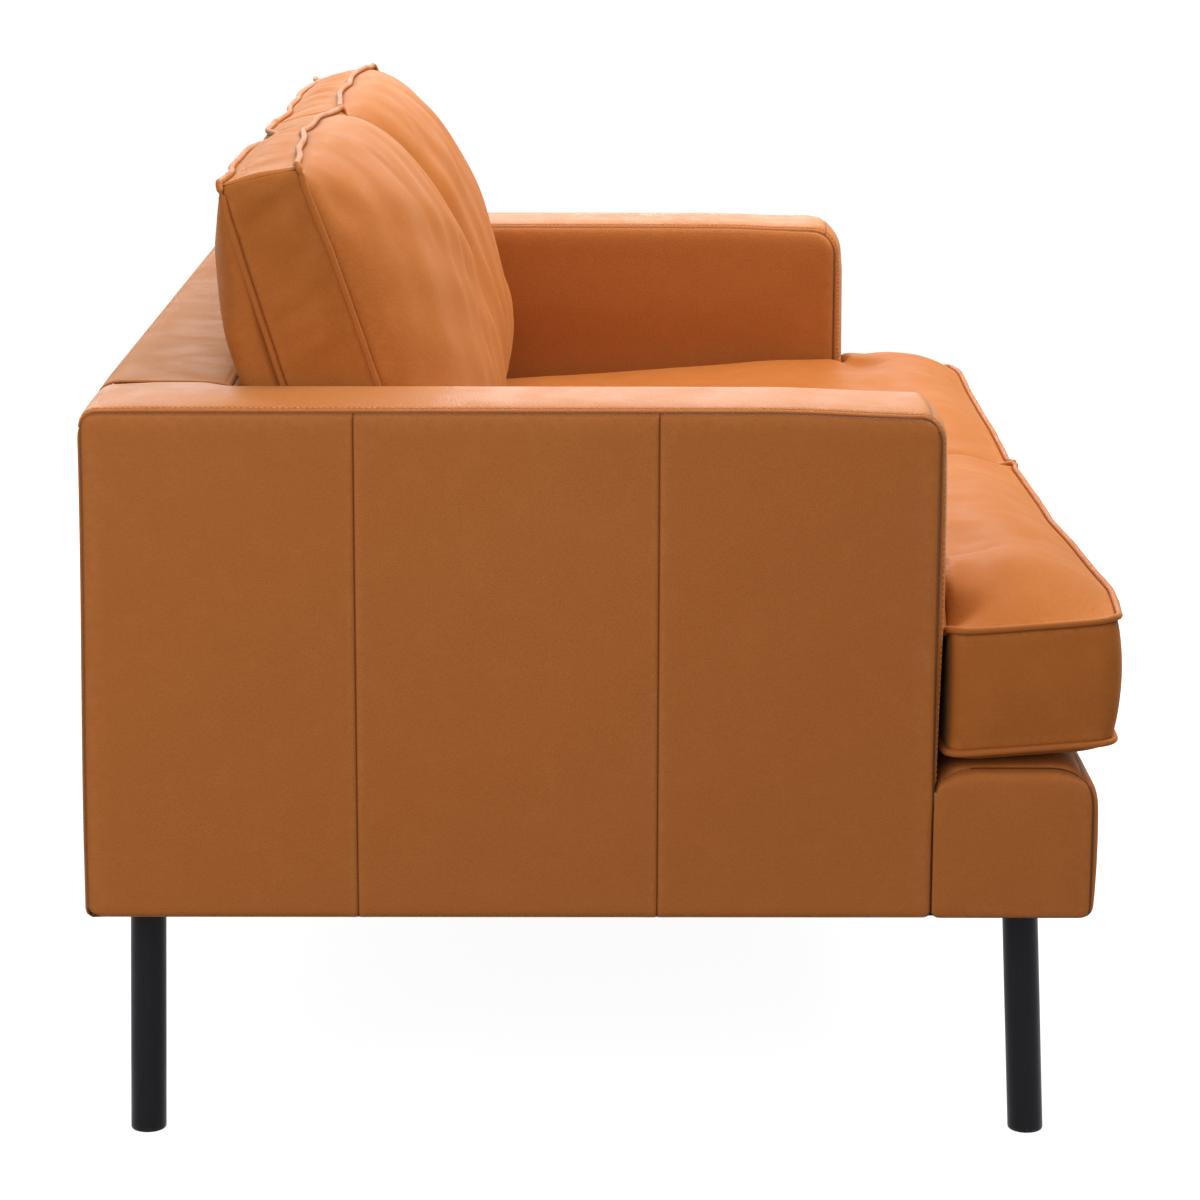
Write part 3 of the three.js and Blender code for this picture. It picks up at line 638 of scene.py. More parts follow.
def make_materials():
    """Every finish, by the name its pieces ask for."""
    colours = bpy.context.scene.sofa_finishes
    return {
        "panel": leather("Panel Leather", tone=0.14, line=0.0019, gloss=0.10, sheen=0.24),
        "band": leather("Back Band Leather", tone=0.10, rough=0.56, gloss=0.04, sheen=0.30),
        # Seats and back cushions are rubbed lighter beside their welts more strongly, partly as a painted
        # highlight.
        "seat": leather("Seat Leather", rub=0.38, rough=0.50, tone=0.16, line=0.0022, gloss=0.02,
                        sheen=0.16),
        "pad": leather("Back Cushion Leather", rub=0.30, rough=0.55, tone=0.24, line=0.0018, gloss=0.02,
                       sheen=0.20),
        "welt": leather("Welt Leather", seams=False, pebbles=900.0, depth=0.00012, rough=0.50, tone=0.20,
                        gloss=0.05),
        "thread": crumb("Thread", colours.thread, 2500.0, 0.0001),
        "legs": painted_wood(),
        "timber_x": wood("Timber Across", 0),
        "timber_y": wood("Timber Lengthwise", 1),
        "plywood": wood("Plywood", 0, tint=0.9, rings=14.0),
        "hardboard": crumb("Hardboard", (0.19, 0.10, 0.05), 900.0, 0.0001),
        "steel": metal("Spring Steel", colours.steel, 0.32),
        "deck": cloth_surface("Deck Cloth", (0.120, 0.060, 0.032), 700.0),
        "dust": cloth_surface("Dust Cloth", (0.014, 0.014, 0.015), 520.0, 0.9),
        "tape": cloth_surface("Zip Tape", (0.100, 0.046, 0.018), 1100.0),
        "brass": metal("Zip Metal", (0.52, 0.36, 0.17), 0.3),
    }


# ---------------------------------------------------------------- stage

MATERIALS = {}
BUILT = {}


class SOFA_OT_stage(bpy.types.Operator):
    """Camera, lamps, world and a pale floor that keeps the sofa's shadow"""
    bl_idname = "sofa.stage"
    bl_label = "Stage"

    def execute(self, context):
        scene = context.scene
        scene.view_settings.view_transform = "Standard"
        self.camera(scene)
        self.world(scene)
        self.floor(scene)
        for name, place, aim, size, power in (
                ("overhead", (0.9, 0.0, 2.8), (0.2, 0.0, 0.5), (2.4, 2.6), 50.0),
                ("front", (0.3, -1.6, 2.8), (0.0, 0.0, 0.5), (2.4, 2.0), 80.0),
                ("side_fill", (-2.6, 0.9, 1.6), (0.0, 0.1, 0.5), (2.0, 1.6), 34.0),
                ("far_fill", (3.2, 0.6, 1.8), (0.0, 0.0, 0.5), (3.0, 1.6), 66.0)):
            lamp = bpy.data.lights.new(name, "AREA")
            lamp.shape, lamp.size, lamp.size_y, lamp.energy = "RECTANGLE", *size, power
            held = bpy.data.objects.new(name, lamp)
            held.location = place
            held.rotation_euler = (Vector(aim) - Vector(place)).to_track_quat("-Z", "Y").to_euler()
            held.visible_camera = False
            scene.collection.objects.link(held)
        return {"FINISHED"}

    def camera(self, scene):
        yaw, pitch, roll = (math.radians(a) for a in (-0.31, 12.29, 0.15))
        ahead = Vector((math.cos(yaw) * math.cos(pitch), math.sin(yaw) * math.cos(pitch), -math.sin(pitch)))
        right = Vector((math.sin(yaw), -math.cos(yaw), 0.0))
        up = right.cross(ahead)
        right, up = (math.cos(roll) * right + math.sin(roll) * up,
                     math.cos(roll) * up - math.sin(roll) * right)
        lens = bpy.data.cameras.new("camera")
        lens.lens, lens.sensor_width = 111.0, 36.0
        camera = bpy.data.objects.new("camera", lens)
        turn = Matrix((right, up, -ahead)).transposed()
        camera.matrix_world = Matrix.Translation((-3.81912, 0.01818, 1.16929)) @ turn.to_4x4()
        scene.collection.objects.link(camera)
        scene.camera = camera

    def world(self, scene):
        world = bpy.data.worlds.new("studio")
        scene.world = world
        world.use_nodes = True
        tree = world.node_tree
        seen = node(tree, "LightPath").outputs
        direct = maths(tree, "MAXIMUM", seen["Is Camera Ray"],
                       maths(tree, "MAXIMUM", seen["Is Glossy Ray"], seen["Is Transmission Ray"]))
        soft = tree.nodes["Background"]
        soft.inputs["Color"].default_value = (1.0, 1.0, 1.0, 1.0)
        soft.inputs["Strength"].default_value = 0.36
        white = node(tree, "Background", {"Color": (1.0, 1.0, 1.0, 1.0), "Strength": 1.0})
        mixed = node(tree, "MixShader", {0: direct, 1: soft.outputs[0], 2: white.outputs[0]})
        tree.links.new(mixed.outputs[0], tree.nodes["World Output"].inputs["Surface"])

    def floor(self, scene):
        material = bpy.data.materials.new("Pale Floor")
        material.use_nodes = True
        tree = material.node_tree
        tree.nodes.remove(tree.nodes["Principled BSDF"])
        seen = node(tree, "LightPath").outputs
        direct = maths(tree, "MAXIMUM", seen["Is Camera Ray"],
                       maths(tree, "MAXIMUM", seen["Is Glossy Ray"], seen["Is Transmission Ray"]))
        matt = node(tree, "BsdfDiffuse", {"Color": (0.24, 0.24, 0.24, 1.0)})
        glow = node(tree, "Emission", {"Color": (1.0, 1.0, 1.0, 1.0),
                                       "Strength": maths(tree, "MULTIPLY", direct, 0.95)})
        both = node(tree, "AddShader", {0: matt.outputs[0], 1: glow.outputs[0]})
        tree.links.new(both.outputs[0], tree.nodes["Material Output"].inputs["Surface"])
        reach = 30.0
        mesh = bpy.data.meshes.new("floor")
        mesh.from_pydata([(-reach, -reach, 0), (reach, -reach, 0), (reach, reach, 0), (-reach, reach, 0)], [],
                         [(0, 1, 2, 3)])
        mesh.materials.append(material)
        floor = bpy.data.objects.new("floor", mesh)
        scene.collection.objects.link(floor)


class SOFA_OT_finishes(bpy.types.Operator):
    """Leather, wood, cloth and steel for every piece"""
    bl_idname = "sofa.finishes"
    bl_label = "Finishes"

    def execute(self, context):
        make_effects()
        MATERIALS.update(make_materials())
        return {"FINISHED"}


# ---------------------------------------------------------------- frame, legs and cloths

class SOFA_OT_frame(bpy.types.Operator):
    """Wood and steel on the frame's own boards, rails, springs and bolts"""
    bl_idname = "sofa.frame"
    bl_label = "Frame"

    FINISHES = {
        "side_rail": "timber_y", "arm_top_rail": "timber_y", "leg_block": "timber_y",
        "centre_stretcher": "timber_y", "arm_front_board": "plywood", "back_post": "plywood",
        "front_shelf": "plywood", "arm_outer_board": "hardboard", "back_outer_board": "hardboard",
        "front_rail": "timber_x", "front_inner_rail": "timber_x", "back_lower_rail": "timber_x",
        "rear_rail": "timber_x", "back_top_rail": "timber_x", "seat_spring": "steel", "leg_bolt": "steel",
    }

    def execute(self, context):
        for name, part in NODES.items():
            for prefix, finish in self.FINISHES.items():
                if name.startswith(prefix):
                    part.material_slots[0].material = MATERIALS[finish]
        return {"FINISHED"}


class SOFA_OT_legs(bpy.types.Operator):
    """Four round legs: a circle carried up a leaning axis, its foot's edge rounded"""
    bl_idname = "sofa.legs"
    bl_label = "Legs"

    def execute(self, context):
        sides = 64
        turn = np.linspace(0, TAU, sides, endpoint=False)
        for end in ("front", "rear"):
            for hand in HANDS:
                name = f"leg_{end}_{hand}"
                low, high = box(name)
                radius = (high[0] - low[0]) / 2
                foot_y = low[1] + radius if end == "front" else high[1] - radius
                top_y = high[1] - radius if end == "front" else low[1] + radius
                round_off = 0.0025
                arc = np.linspace(0, math.pi / 2, 6)
                rise = np.concatenate([round_off * (1 - np.cos(arc)),
                                       np.linspace(0.006, high[2] - low[2], 24)])
                wide = np.concatenate([radius - round_off * (1 - np.sin(arc)), np.full(24, radius)])
                share_up = rise / (high[2] - low[2])
                points = np.stack([
                    (low[0] + high[0]) / 2 + wide[:, None] * np.cos(turn),
                    foot_y + (top_y - foot_y) * share_up[:, None] + wide[:, None] * np.sin(turn),
                    np.broadcast_to(low[2] + rise[:, None], (len(rise), sides))], -1).reshape(-1, 3)
                k = np.arange(len(rise) * sides).reshape(-1, sides)
                on = np.roll(k, -1, 1)
                walls = np.stack([k[:-1], on[:-1], on[1:], k[1:]], -1).reshape(-1, 4)
                faces = walls.tolist() + [k[0, ::-1].tolist(), k[-1].tolist()]
                piece(f"{name}_turned", points, faces, "frame", MATERIALS["legs"], (name,), "black_wood")
        return {"FINISHED"}


class SOFA_OT_cloths(bpy.types.Operator):
    """The deck cloth over the springs and the dust cloth under the frame"""
    bl_idname = "sofa.cloths"
    bl_label = "Cloths"

    def execute(self, context):
        self.deck(context.scene.sofa_cushions)
        self.dust()
        return {"FINISHED"}

    def deck(self, sizes):
        low, high = box("deck_cloth")
        slope = math.tan(sizes.seat_pitch)
        x = np.linspace(low[0], high[0], 241)
        y = np.linspace(low[1], high[1], 61)
        inner = ease(np.minimum(y - low[1], high[1] - y) / 0.05)
        # The cloth dips a little between one spring and the next.
        pitch = INSIDE_X / 4
        dip = 0.0006 * inner[:, None] * (0.5 - 0.5 * np.cos(TAU * x / pitch)[None])
        hem = 0.0004 * (1 - ease((np.minimum(y - low[1], high[1] - y)[:, None] - 0.012) / 0.002))
        z = high[2] - (y[:, None] - low[1]) * slope - dip + hem - 0.0004
        points = np.stack([*np.broadcast_arrays(x[None], y[:, None]), z], -1)
        made = piece("deck_cloth_woven", points.reshape(-1, 3), grid_quads(61, 241), "frame",
                     MATERIALS["deck"],
                     ("deck_cloth",), "deck_cloth")
        thicken(made, 0.001)

    def dust(self):
        low, high = box("dust_cover")
        holes = [box(f"leg_bolt_{end}_right") for end in ("front", "rear")]
        hole_x = float(holes[0][0][0] + holes[0][1][0]) / 2
        leg, reach = 0.01675, 0.030
        ring = np.array([-reach, -0.022, -leg, -0.006, 0.006, leg, 0.022, reach])
        hole_y = [float(box(f"leg_{end}_right")[k][1]) + s * 0.01575
                  for end, k, s in (("front", 1, -1), ("rear", 0, 1))]

        def lines(start, end, holes):
            held = np.linspace(start, end, round((end - start) / 0.024) + 1)
            for hole in holes:
                held = np.concatenate([held[np.abs(held - hole) > reach + 0.002], hole + ring])
            return np.sort(held)

        xs, ys = lines(low[0], high[0], (-hole_x, hole_x)), lines(low[1], high[1], hole_y)
        x, y = np.meshgrid(xs, ys)
        kept = np.ones((len(ys) - 1, len(xs) - 1), bool)
        middle_x, middle_y = (xs[1:] + xs[:-1]) / 2, (ys[1:] + ys[:-1]) / 2
        for cx in (-hole_x, hole_x):
            for cy in hole_y:
                # Squares around a leg's hole become circles, less and less with their distance.
                a, b = x - cx, y - cy
                square = np.maximum(np.abs(a), np.abs(b))
                true = np.hypot(a, b)
                pull = ease((reach - square) / (reach - leg)) * (square < reach)
                factor = np.where(true > 0, square / np.maximum(true, 1e-9), 1.0)
                x = x + a * (factor - 1) * pull
                y = y + b * (factor - 1) * pull
                kept &= ~((np.abs(middle_x[None] - cx) < leg) & (np.abs(middle_y[:, None] - cy) < leg))
        edge = np.minimum(np.minimum(x - low[0], high[0] - x), np.minimum(y - low[1], high[1] - y))
        z = high[2] - 0.0008 * ease((edge - 0.01) / 0.12)
        faces = grid_quads(len(ys), len(xs))[kept.ravel()]
        points = np.stack([x, y, z], -1).reshape(-1, 3)
        used, faces = np.unique(faces, return_inverse=True)
        made = piece("dust_cover_bonded", points[used], faces.reshape(-1, 4), "frame", MATERIALS["dust"],
                     ("dust_cover",), "dust_cloth")
        thicken(made, 0.0008)


# ---------------------------------------------------------------- fixed upholstery

def flat_seam(distance, depth):
    """The V of a flat seam, with the leather risen slightly on both sides of it."""
    return -depth * np.exp(-(distance / 0.0011) ** 2) \
        + 0.0003 * np.exp(-((np.abs(distance) - 0.0045) / 0.003) ** 2)


def raised_strip(x, y, z, out, high):
    """Points of a strip that runs along (y, z) and lies across x, raised by `high` on its outer side."""
    return np.stack(np.broadcast_arrays(x[None], y[:, None] + out[:, :1] * high,
                                        z[:, None] + out[:, 1:] * high), -1)


def hem(distance):
    """Height of a turned, topstitched edge: down into the seam, up over the fold, pinched at the stitches."""
    at = np.array([0.0, 0.0010, 0.0022, 0.0036, 0.0050, 0.0064, 0.0090, 0.0200, 0.5])
    high = np.array([-0.0026, 0.0000, 0.0010, 0.0014, 0.0012, 0.0018, 0.0021, 0.0024, 0.0024])
    return np.interp(distance, at, high)


HEM_LINES = (0.0, 0.0010, 0.0022, 0.0036, 0.0050, 0.0064, 0.0090, 0.0140, 0.0200)


def arm_outline(sizes, a, b, hand):
    """(y, z) on an arm's side, from a rectangle: its corners rounded and its top falling to the front."""
    front_radius = sizes.arm_front_radius + (0.008 if hand == "right" else 0.0)
    low, top = UNDER_Z - sizes.hem_drop, TOP_Z - sizes.hide
    a, b = rounded(a, b, [
        (ARM_FRONT_Y, top, 1, -1, front_radius), (REAR_Y, top, -1, -1, sizes.arm_rear_radius),
        (ARM_FRONT_Y, low, 1, 1, 0.006), (REAR_Y, low, -1, 1, 0.012)])
    lean = 0.0042 * ease((0.62 - b) / 0.36) * ease((a - 0.40) / 0.04)
    return a + lean, b - 0.0045 * ease((-0.14 - a) / 0.14) * ease((b - 0.50) / 0.12)


def lining_y(sizes, z):
    """How far back the inside back's leather lies at height z: upright, then leaning."""
    knee = TOP_Z - (BACK_TOP_Y - KNEE_Y) / math.tan(sizes.pad_lean)
    return KNEE_Y + np.maximum(0.0, z - knee) * math.tan(sizes.pad_lean)


class SOFA_OT_arms(bpy.types.Operator):
    """Side panels, inside panels and the band over each arm's top and front"""
    bl_idname = "sofa.arms"
    bl_label = "Arms"

    def execute(self, context):
        sizes, lean = context.scene.sofa_upholstery, context.scene.sofa_cushions
        for hand, sign in HANDS.items():
            self.side(sizes, hand, sign)
            self.inside(sizes, lean, hand, sign)
            self.band(sizes, hand, sign)
        return {"FINISHED"}

    def side(self, sizes, hand, sign):
        low, top = UNDER_Z - sizes.hem_drop, TOP_Z - sizes.hide
        seams = (sizes.rear_panel_seam, sizes.front_panel_seam)
        a = with_seams(grid_lines(ARM_FRONT_Y, REAR_Y, 0.012), seams)
        b = grid_lines(low, top, 0.012)
        a, b = np.meshgrid(a, b)
        y, z = arm_outline(sizes, a, b, hand)
        front, rear, above, below = a - ARM_FRONT_Y, REAR_Y - a, top - b, b - low
        rolled = [shoulder(d / sizes.edge_roll) for d in (front, rear, above)]
        swell = ease(np.minimum(np.minimum(front, rear), np.minimum(above, below)) / 0.16)
        inset = sizes.seam_inset * (1 - 0.8 * np.exp(-((b - 0.325) / 0.014) ** 2) * (front < 0.1))
        x = HALF_WIDTH - inset * (1 - rolled[0] * rolled[1] * rolled[2])
        x = x - 0.004 * (1 - shoulder(below / 0.007)) + sizes.side_pillow * swell
        # Distance to the seams for the painted seam shade: wider along the panel's edges, narrower at its
        # upright seams.
        nearest = np.minimum(np.minimum(front, rear), above) * 0.6
        for seam in seams:
            x = x + flat_seam(a - seam, sizes.seam_groove)
            nearest = np.minimum(nearest, 1.5 * np.abs(a - seam))
        x = x + waves(a / 0.7 + b, 3 if hand == "left" else 5, 5, 0.0004) * swell
        points = np.stack([x, y, z], -1)
        tuck = points[:1] + np.array([[[-0.006, 0, 0.0002]], [[-0.014, 0, 0.0012]]]).repeat(a.shape[1], 1)
        points = np.concatenate([tuck[::-1], points])
        nearest = np.concatenate([nearest[:1], nearest[:1], nearest])
        made = piece(f"arm_side_panels_{hand}",
                     *mirror(points.reshape(-1, 3), grid_quads(*nearest.shape), sign),
                     "frame", MATERIALS["panel"], (f"arm_side_cover_{hand}",), seam=nearest)
        thicken(made, sizes.hide)

    def inside(self, sizes, lean, hand, sign):
        low, top = 0.315, TOP_Z - sizes.hide
        b = grid_lines(low, top, 0.011, (0.0, 0.0025, 0.006, 0.011, 0.017, 0.024))
        s = grid_lines(0.0, 1.0, 0.018, (0.0, 0.004, 0.010, 0.018, 0.030))[::-1]
        rear = lining_y(lean, b)[:, None] + 0.004
        s, b = np.meshgrid(s, b)
        a = ARM_FRONT_Y + (rear - ARM_FRONT_Y) * s
        y, z = arm_outline(sizes, a, b, hand)
        front, above = a - ARM_FRONT_Y, top - b
        rolls = shoulder(front / sizes.edge_roll), shoulder(above / sizes.inner_roll)
        x = INSIDE_X + sizes.seam_inset * (1 - rolls[0]) + 0.0075 * (1 - rolls[1])
        free = ease((z - 0.500) / 0.07) * ease(np.minimum(front, above) / 0.10)
        x = x - sizes.inner_pillow * free
        points = np.stack([x, y, z], -1).reshape(-1, 3)
        made = piece(f"arm_inside_{hand}", *mirror(points, grid_quads(*s.shape), sign), "frame",
                     MATERIALS["panel"], (f"arm_inner_cover_{hand}", f"arm_foam_{hand}"),
                     seam=np.minimum(front, above))
        thicken(made, sizes.hide)

    def band(self, sizes, hand, sign):
        top = TOP_Z - sizes.hide
        step = 0.003
        up = np.arange(0.296, top, step)
        over = np.arange(ARM_FRONT_Y, REAR_Y, step)
        down = np.linspace(top, sizes.rear_seam, 8)
        a = np.concatenate([np.full(len(up), ARM_FRONT_Y), over, np.full(8, REAR_Y)])
        b = np.concatenate([up, np.full(len(over), top), down])
        y, z = arm_outline(sizes, a, b, hand)
        ahead = np.stack([np.gradient(y), np.gradient(z)], 1)
        ahead /= np.linalg.norm(ahead, axis=1, keepdims=True)
        out = np.stack([-ahead[:, 1], ahead[:, 0]], 1)
        inner, outer = INSIDE_X + 0.0075, HALF_WIDTH - sizes.seam_inset
        edges = np.array(HEM_LINES)
        x = np.concatenate([inner + edges, np.linspace(inner + 0.026, outer - 0.026, 11),
                            outer - edges[::-1]])
        from_inner, from_outer = x - inner, outer - x
        # The crown grows up the front, eases over the corner and dies away at the rear.
        along = np.concatenate([[0], np.cumsum(np.hypot(np.diff(y), np.diff(z)))])
        corner = along[len(up)]
        full = sizes.front_crown + (0.005 if hand == "right" else 0.0)
        rise = np.interp(along, [0, 0.06, 0.20, corner - 0.045, corner, corner + 0.07, along[-1] - 0.06,
                                 along[-1] - 0.012, along[-1]],
                         [0.0, 0.0015, full, full * 0.92, full * 0.62,
                          sizes.arm_crown, sizes.arm_crown, 0.0020, 0.0])
        joined = ease((y - BACK_TOP_Y) / 0.03) * (z > 0.6)
        reach = 0.064
        crown = shoulder((from_inner[None] + 0.030 * joined[:, None]) / reach) \
            * shoulder(from_outer[None] / reach)
        folds = hem(from_outer)[None] + np.where(from_inner[None] < 0.02, hem(from_inner)[None], 0.0024) \
            - 0.0024
        behind = 0.0020 * (1 - ease((b - 0.326) / 0.016)) * (a == ARM_FRONT_Y)
        high = rise[:, None] * crown + folds - behind[:, None]
        butt = along - (corner + 0.006)
        high = high + flat_seam(butt, 0.0010)[:, None] + 0.0006 * np.exp(-(butt[:, None] / 0.006) ** 2)
        points = raised_strip(x, y, z, out, high)
        points = points.copy()
        points[..., 2] = np.where(from_inner[None] < 0.02,
            points[..., 2] + (0.0022 * joined[:, None] - 0.0010) * (1 - from_inner[None] / 0.02)
                                  * (z[:, None] > 0.6), points[..., 2])
        # The stitch lines count as seams too, so a thin line of painted shade runs along each.
        pinched = np.minimum(np.abs(from_inner - sizes.stitch_inset),
                             np.abs(from_outer - sizes.stitch_inset)) + 0.0003
        nearest = np.minimum(np.minimum(from_inner, from_outer), pinched)[None] \
            + 0.003 * joined[:, None] * (from_inner < 0.02)
        nearest = np.minimum(nearest, np.abs(butt)[:, None])
        made = piece(f"arm_band_{hand}", *mirror(points.reshape(-1, 3), grid_quads(len(y), len(x)), sign),
                     "frame",
                     MATERIALS["panel"], ("border_band",), seam=nearest)
        thicken(made, sizes.hide)
        # Topstitching keeps to the pinched line of the outer hem, and of the inner one where that shows.
        line = int(np.argmin(np.abs(from_outer - sizes.stitch_inset)))
        inside_line = int(np.argmin(np.abs(from_inner - sizes.stitch_inset)))
        row = slice(int(len(up) * 0.12), len(y) - 3)
        inner_row = slice(int(len(up) * 0.12), int(np.argmax((y > BACK_TOP_Y - 0.01) & (z > 0.6))))
        normals = np.concatenate([np.zeros((len(y), 1)), out], 1)
        for k, rows in ((line, row), (inside_line, inner_row)):
            path = points[rows, k].copy()
            path[:, 0] *= sign
            BUILT.setdefault("stitch_rows", []).append((path, normals[rows]))


class SOFA_OT_back(bpy.types.Operator):
    """The inside back, the band along its top and the outside back"""
    bl_idname = "sofa.back"
    bl_label = "Back"

    def execute(self, context):
        sizes, lean = context.scene.sofa_upholstery, context.scene.sofa_cushions
        self.lining(sizes, lean)
        self.band(sizes)
        self.outside(sizes)
        return {"FINISHED"}

    def lining(self, sizes, lean):
        top = TOP_Z - sizes.hide
        x = with_seams(grid_lines(-INSIDE_X + 0.0003, INSIDE_X - 0.0003, 0.02), (0.0,))
        z = grid_lines(LINING_LOW[2], top, 0.012, (0.0, 0.0025, 0.006, 0.011, 0.017))
        x, z = np.meshgrid(x, z)
        above = top - z
        y = lining_y(lean, z) + 0.0025 * (1 - shoulder(above / 0.010)) - flat_seam(x, sizes.seam_groove)
        x = x * (1 + 0.0078 / INSIDE_X * (1 - shoulder(above / 0.024)))
        made = piece("back_lining", np.stack([x, y, z], -1).reshape(-1, 3), grid_quads(*x.shape), "frame",
                     MATERIALS["band"], ("back_inner_cover", "back_foam"),
                     seam=np.minimum(np.minimum(np.abs(x), above), INSIDE_X - np.abs(x)))
        thicken(made, sizes.hide)

    def band(self, sizes):
        top = TOP_Z - sizes.hide
        start = BACK_TOP_Y + 0.0025
        edges = np.array(HEM_LINES)
        a = np.concatenate([start + edges, np.linspace(start + 0.026, REAR_Y - 0.03, 7),
                            np.linspace(REAR_Y - 0.024, REAR_Y, 10), np.full(7, REAR_Y)])
        b = np.concatenate([np.full(len(a) - 7, top), np.linspace(top, sizes.rear_seam, 8)[1:]])
        y, z = rounded(a, b, [(REAR_Y, top, -1, -1, sizes.arm_rear_radius)])
        ahead = np.stack([np.gradient(y), np.gradient(z)], 1)
        ahead /= np.linalg.norm(ahead, axis=1, keepdims=True)
        out = np.stack([-ahead[:, 1], ahead[:, 0]], 1)
        half = INSIDE_X + 0.0075
        x = grid_lines(-half, half, 0.02)
        side = half - np.abs(x)
        from_front, to_rear = y - start, np.abs(b - sizes.rear_seam) + (REAR_Y - y)
        rise = sizes.back_crown * shoulder(from_front / 0.05) * ease(to_rear / 0.035)
        end = 0.75 + 0.25 * ease(side / 0.08)
        high = rise[:, None] * end[None] + hem(from_front)[:, None] + flat_seam(side, 0.0004)[None]
        points = raised_strip(x, y, z, out, high)
        nearest = np.minimum(np.minimum(from_front, to_rear)[:, None], (0.0026 + 3 * side)[None])
        made = piece("back_band", points.reshape(-1, 3), grid_quads(len(y), len(x)), "frame",
                     MATERIALS["band"],
                     seam=nearest)
        thicken(made, sizes.hide)

    def outside(self, sizes):
        low, top = UNDER_Z - sizes.hem_drop, sizes.rear_seam
        half = HALF_WIDTH - sizes.seam_inset
        seams = (-sizes.back_panel_seam, sizes.back_panel_seam)
        x = with_seams(grid_lines(-half, half, 0.02), seams)[::-1]
        z = grid_lines(low, top, 0.016)
        x, z = np.meshgrid(x, z)
        side, above, below = half - np.abs(x), top - z, z - low
        swell = ease(np.minimum(np.minimum(side, above), below) / 0.16)
        y = REAR_Y - 0.0006 + 0.0036 * shoulder(side / sizes.edge_roll) * shoulder(above / sizes.edge_roll)
        y = y - 0.004 * (1 - shoulder(below / 0.007)) + (sizes.side_pillow + 0.001) * swell \
            + 0.0042 * ease((0.62 - z) / 0.36)
        nearest = np.minimum(side, above)
        for seam in seams:
            y = y + flat_seam(x - seam, sizes.seam_groove)
            nearest = np.minimum(nearest, np.abs(x - seam))
        points = np.stack([x, y, z], -1)
        tuck = points[:1] + np.array([[[0, -0.006, 0.0002]], [[0, -0.014, 0.0012]]]).repeat(x.shape[1], 1)
        points = np.concatenate([tuck[::-1], points])
        nearest = np.concatenate([nearest[:1], nearest[:1], nearest])
        made = piece("back_outside_panels", points.reshape(-1, 3), grid_quads(*nearest.shape), "frame",
                     MATERIALS["panel"], ("back_outer_cover",), seam=nearest)
        thicken(made, sizes.hide)


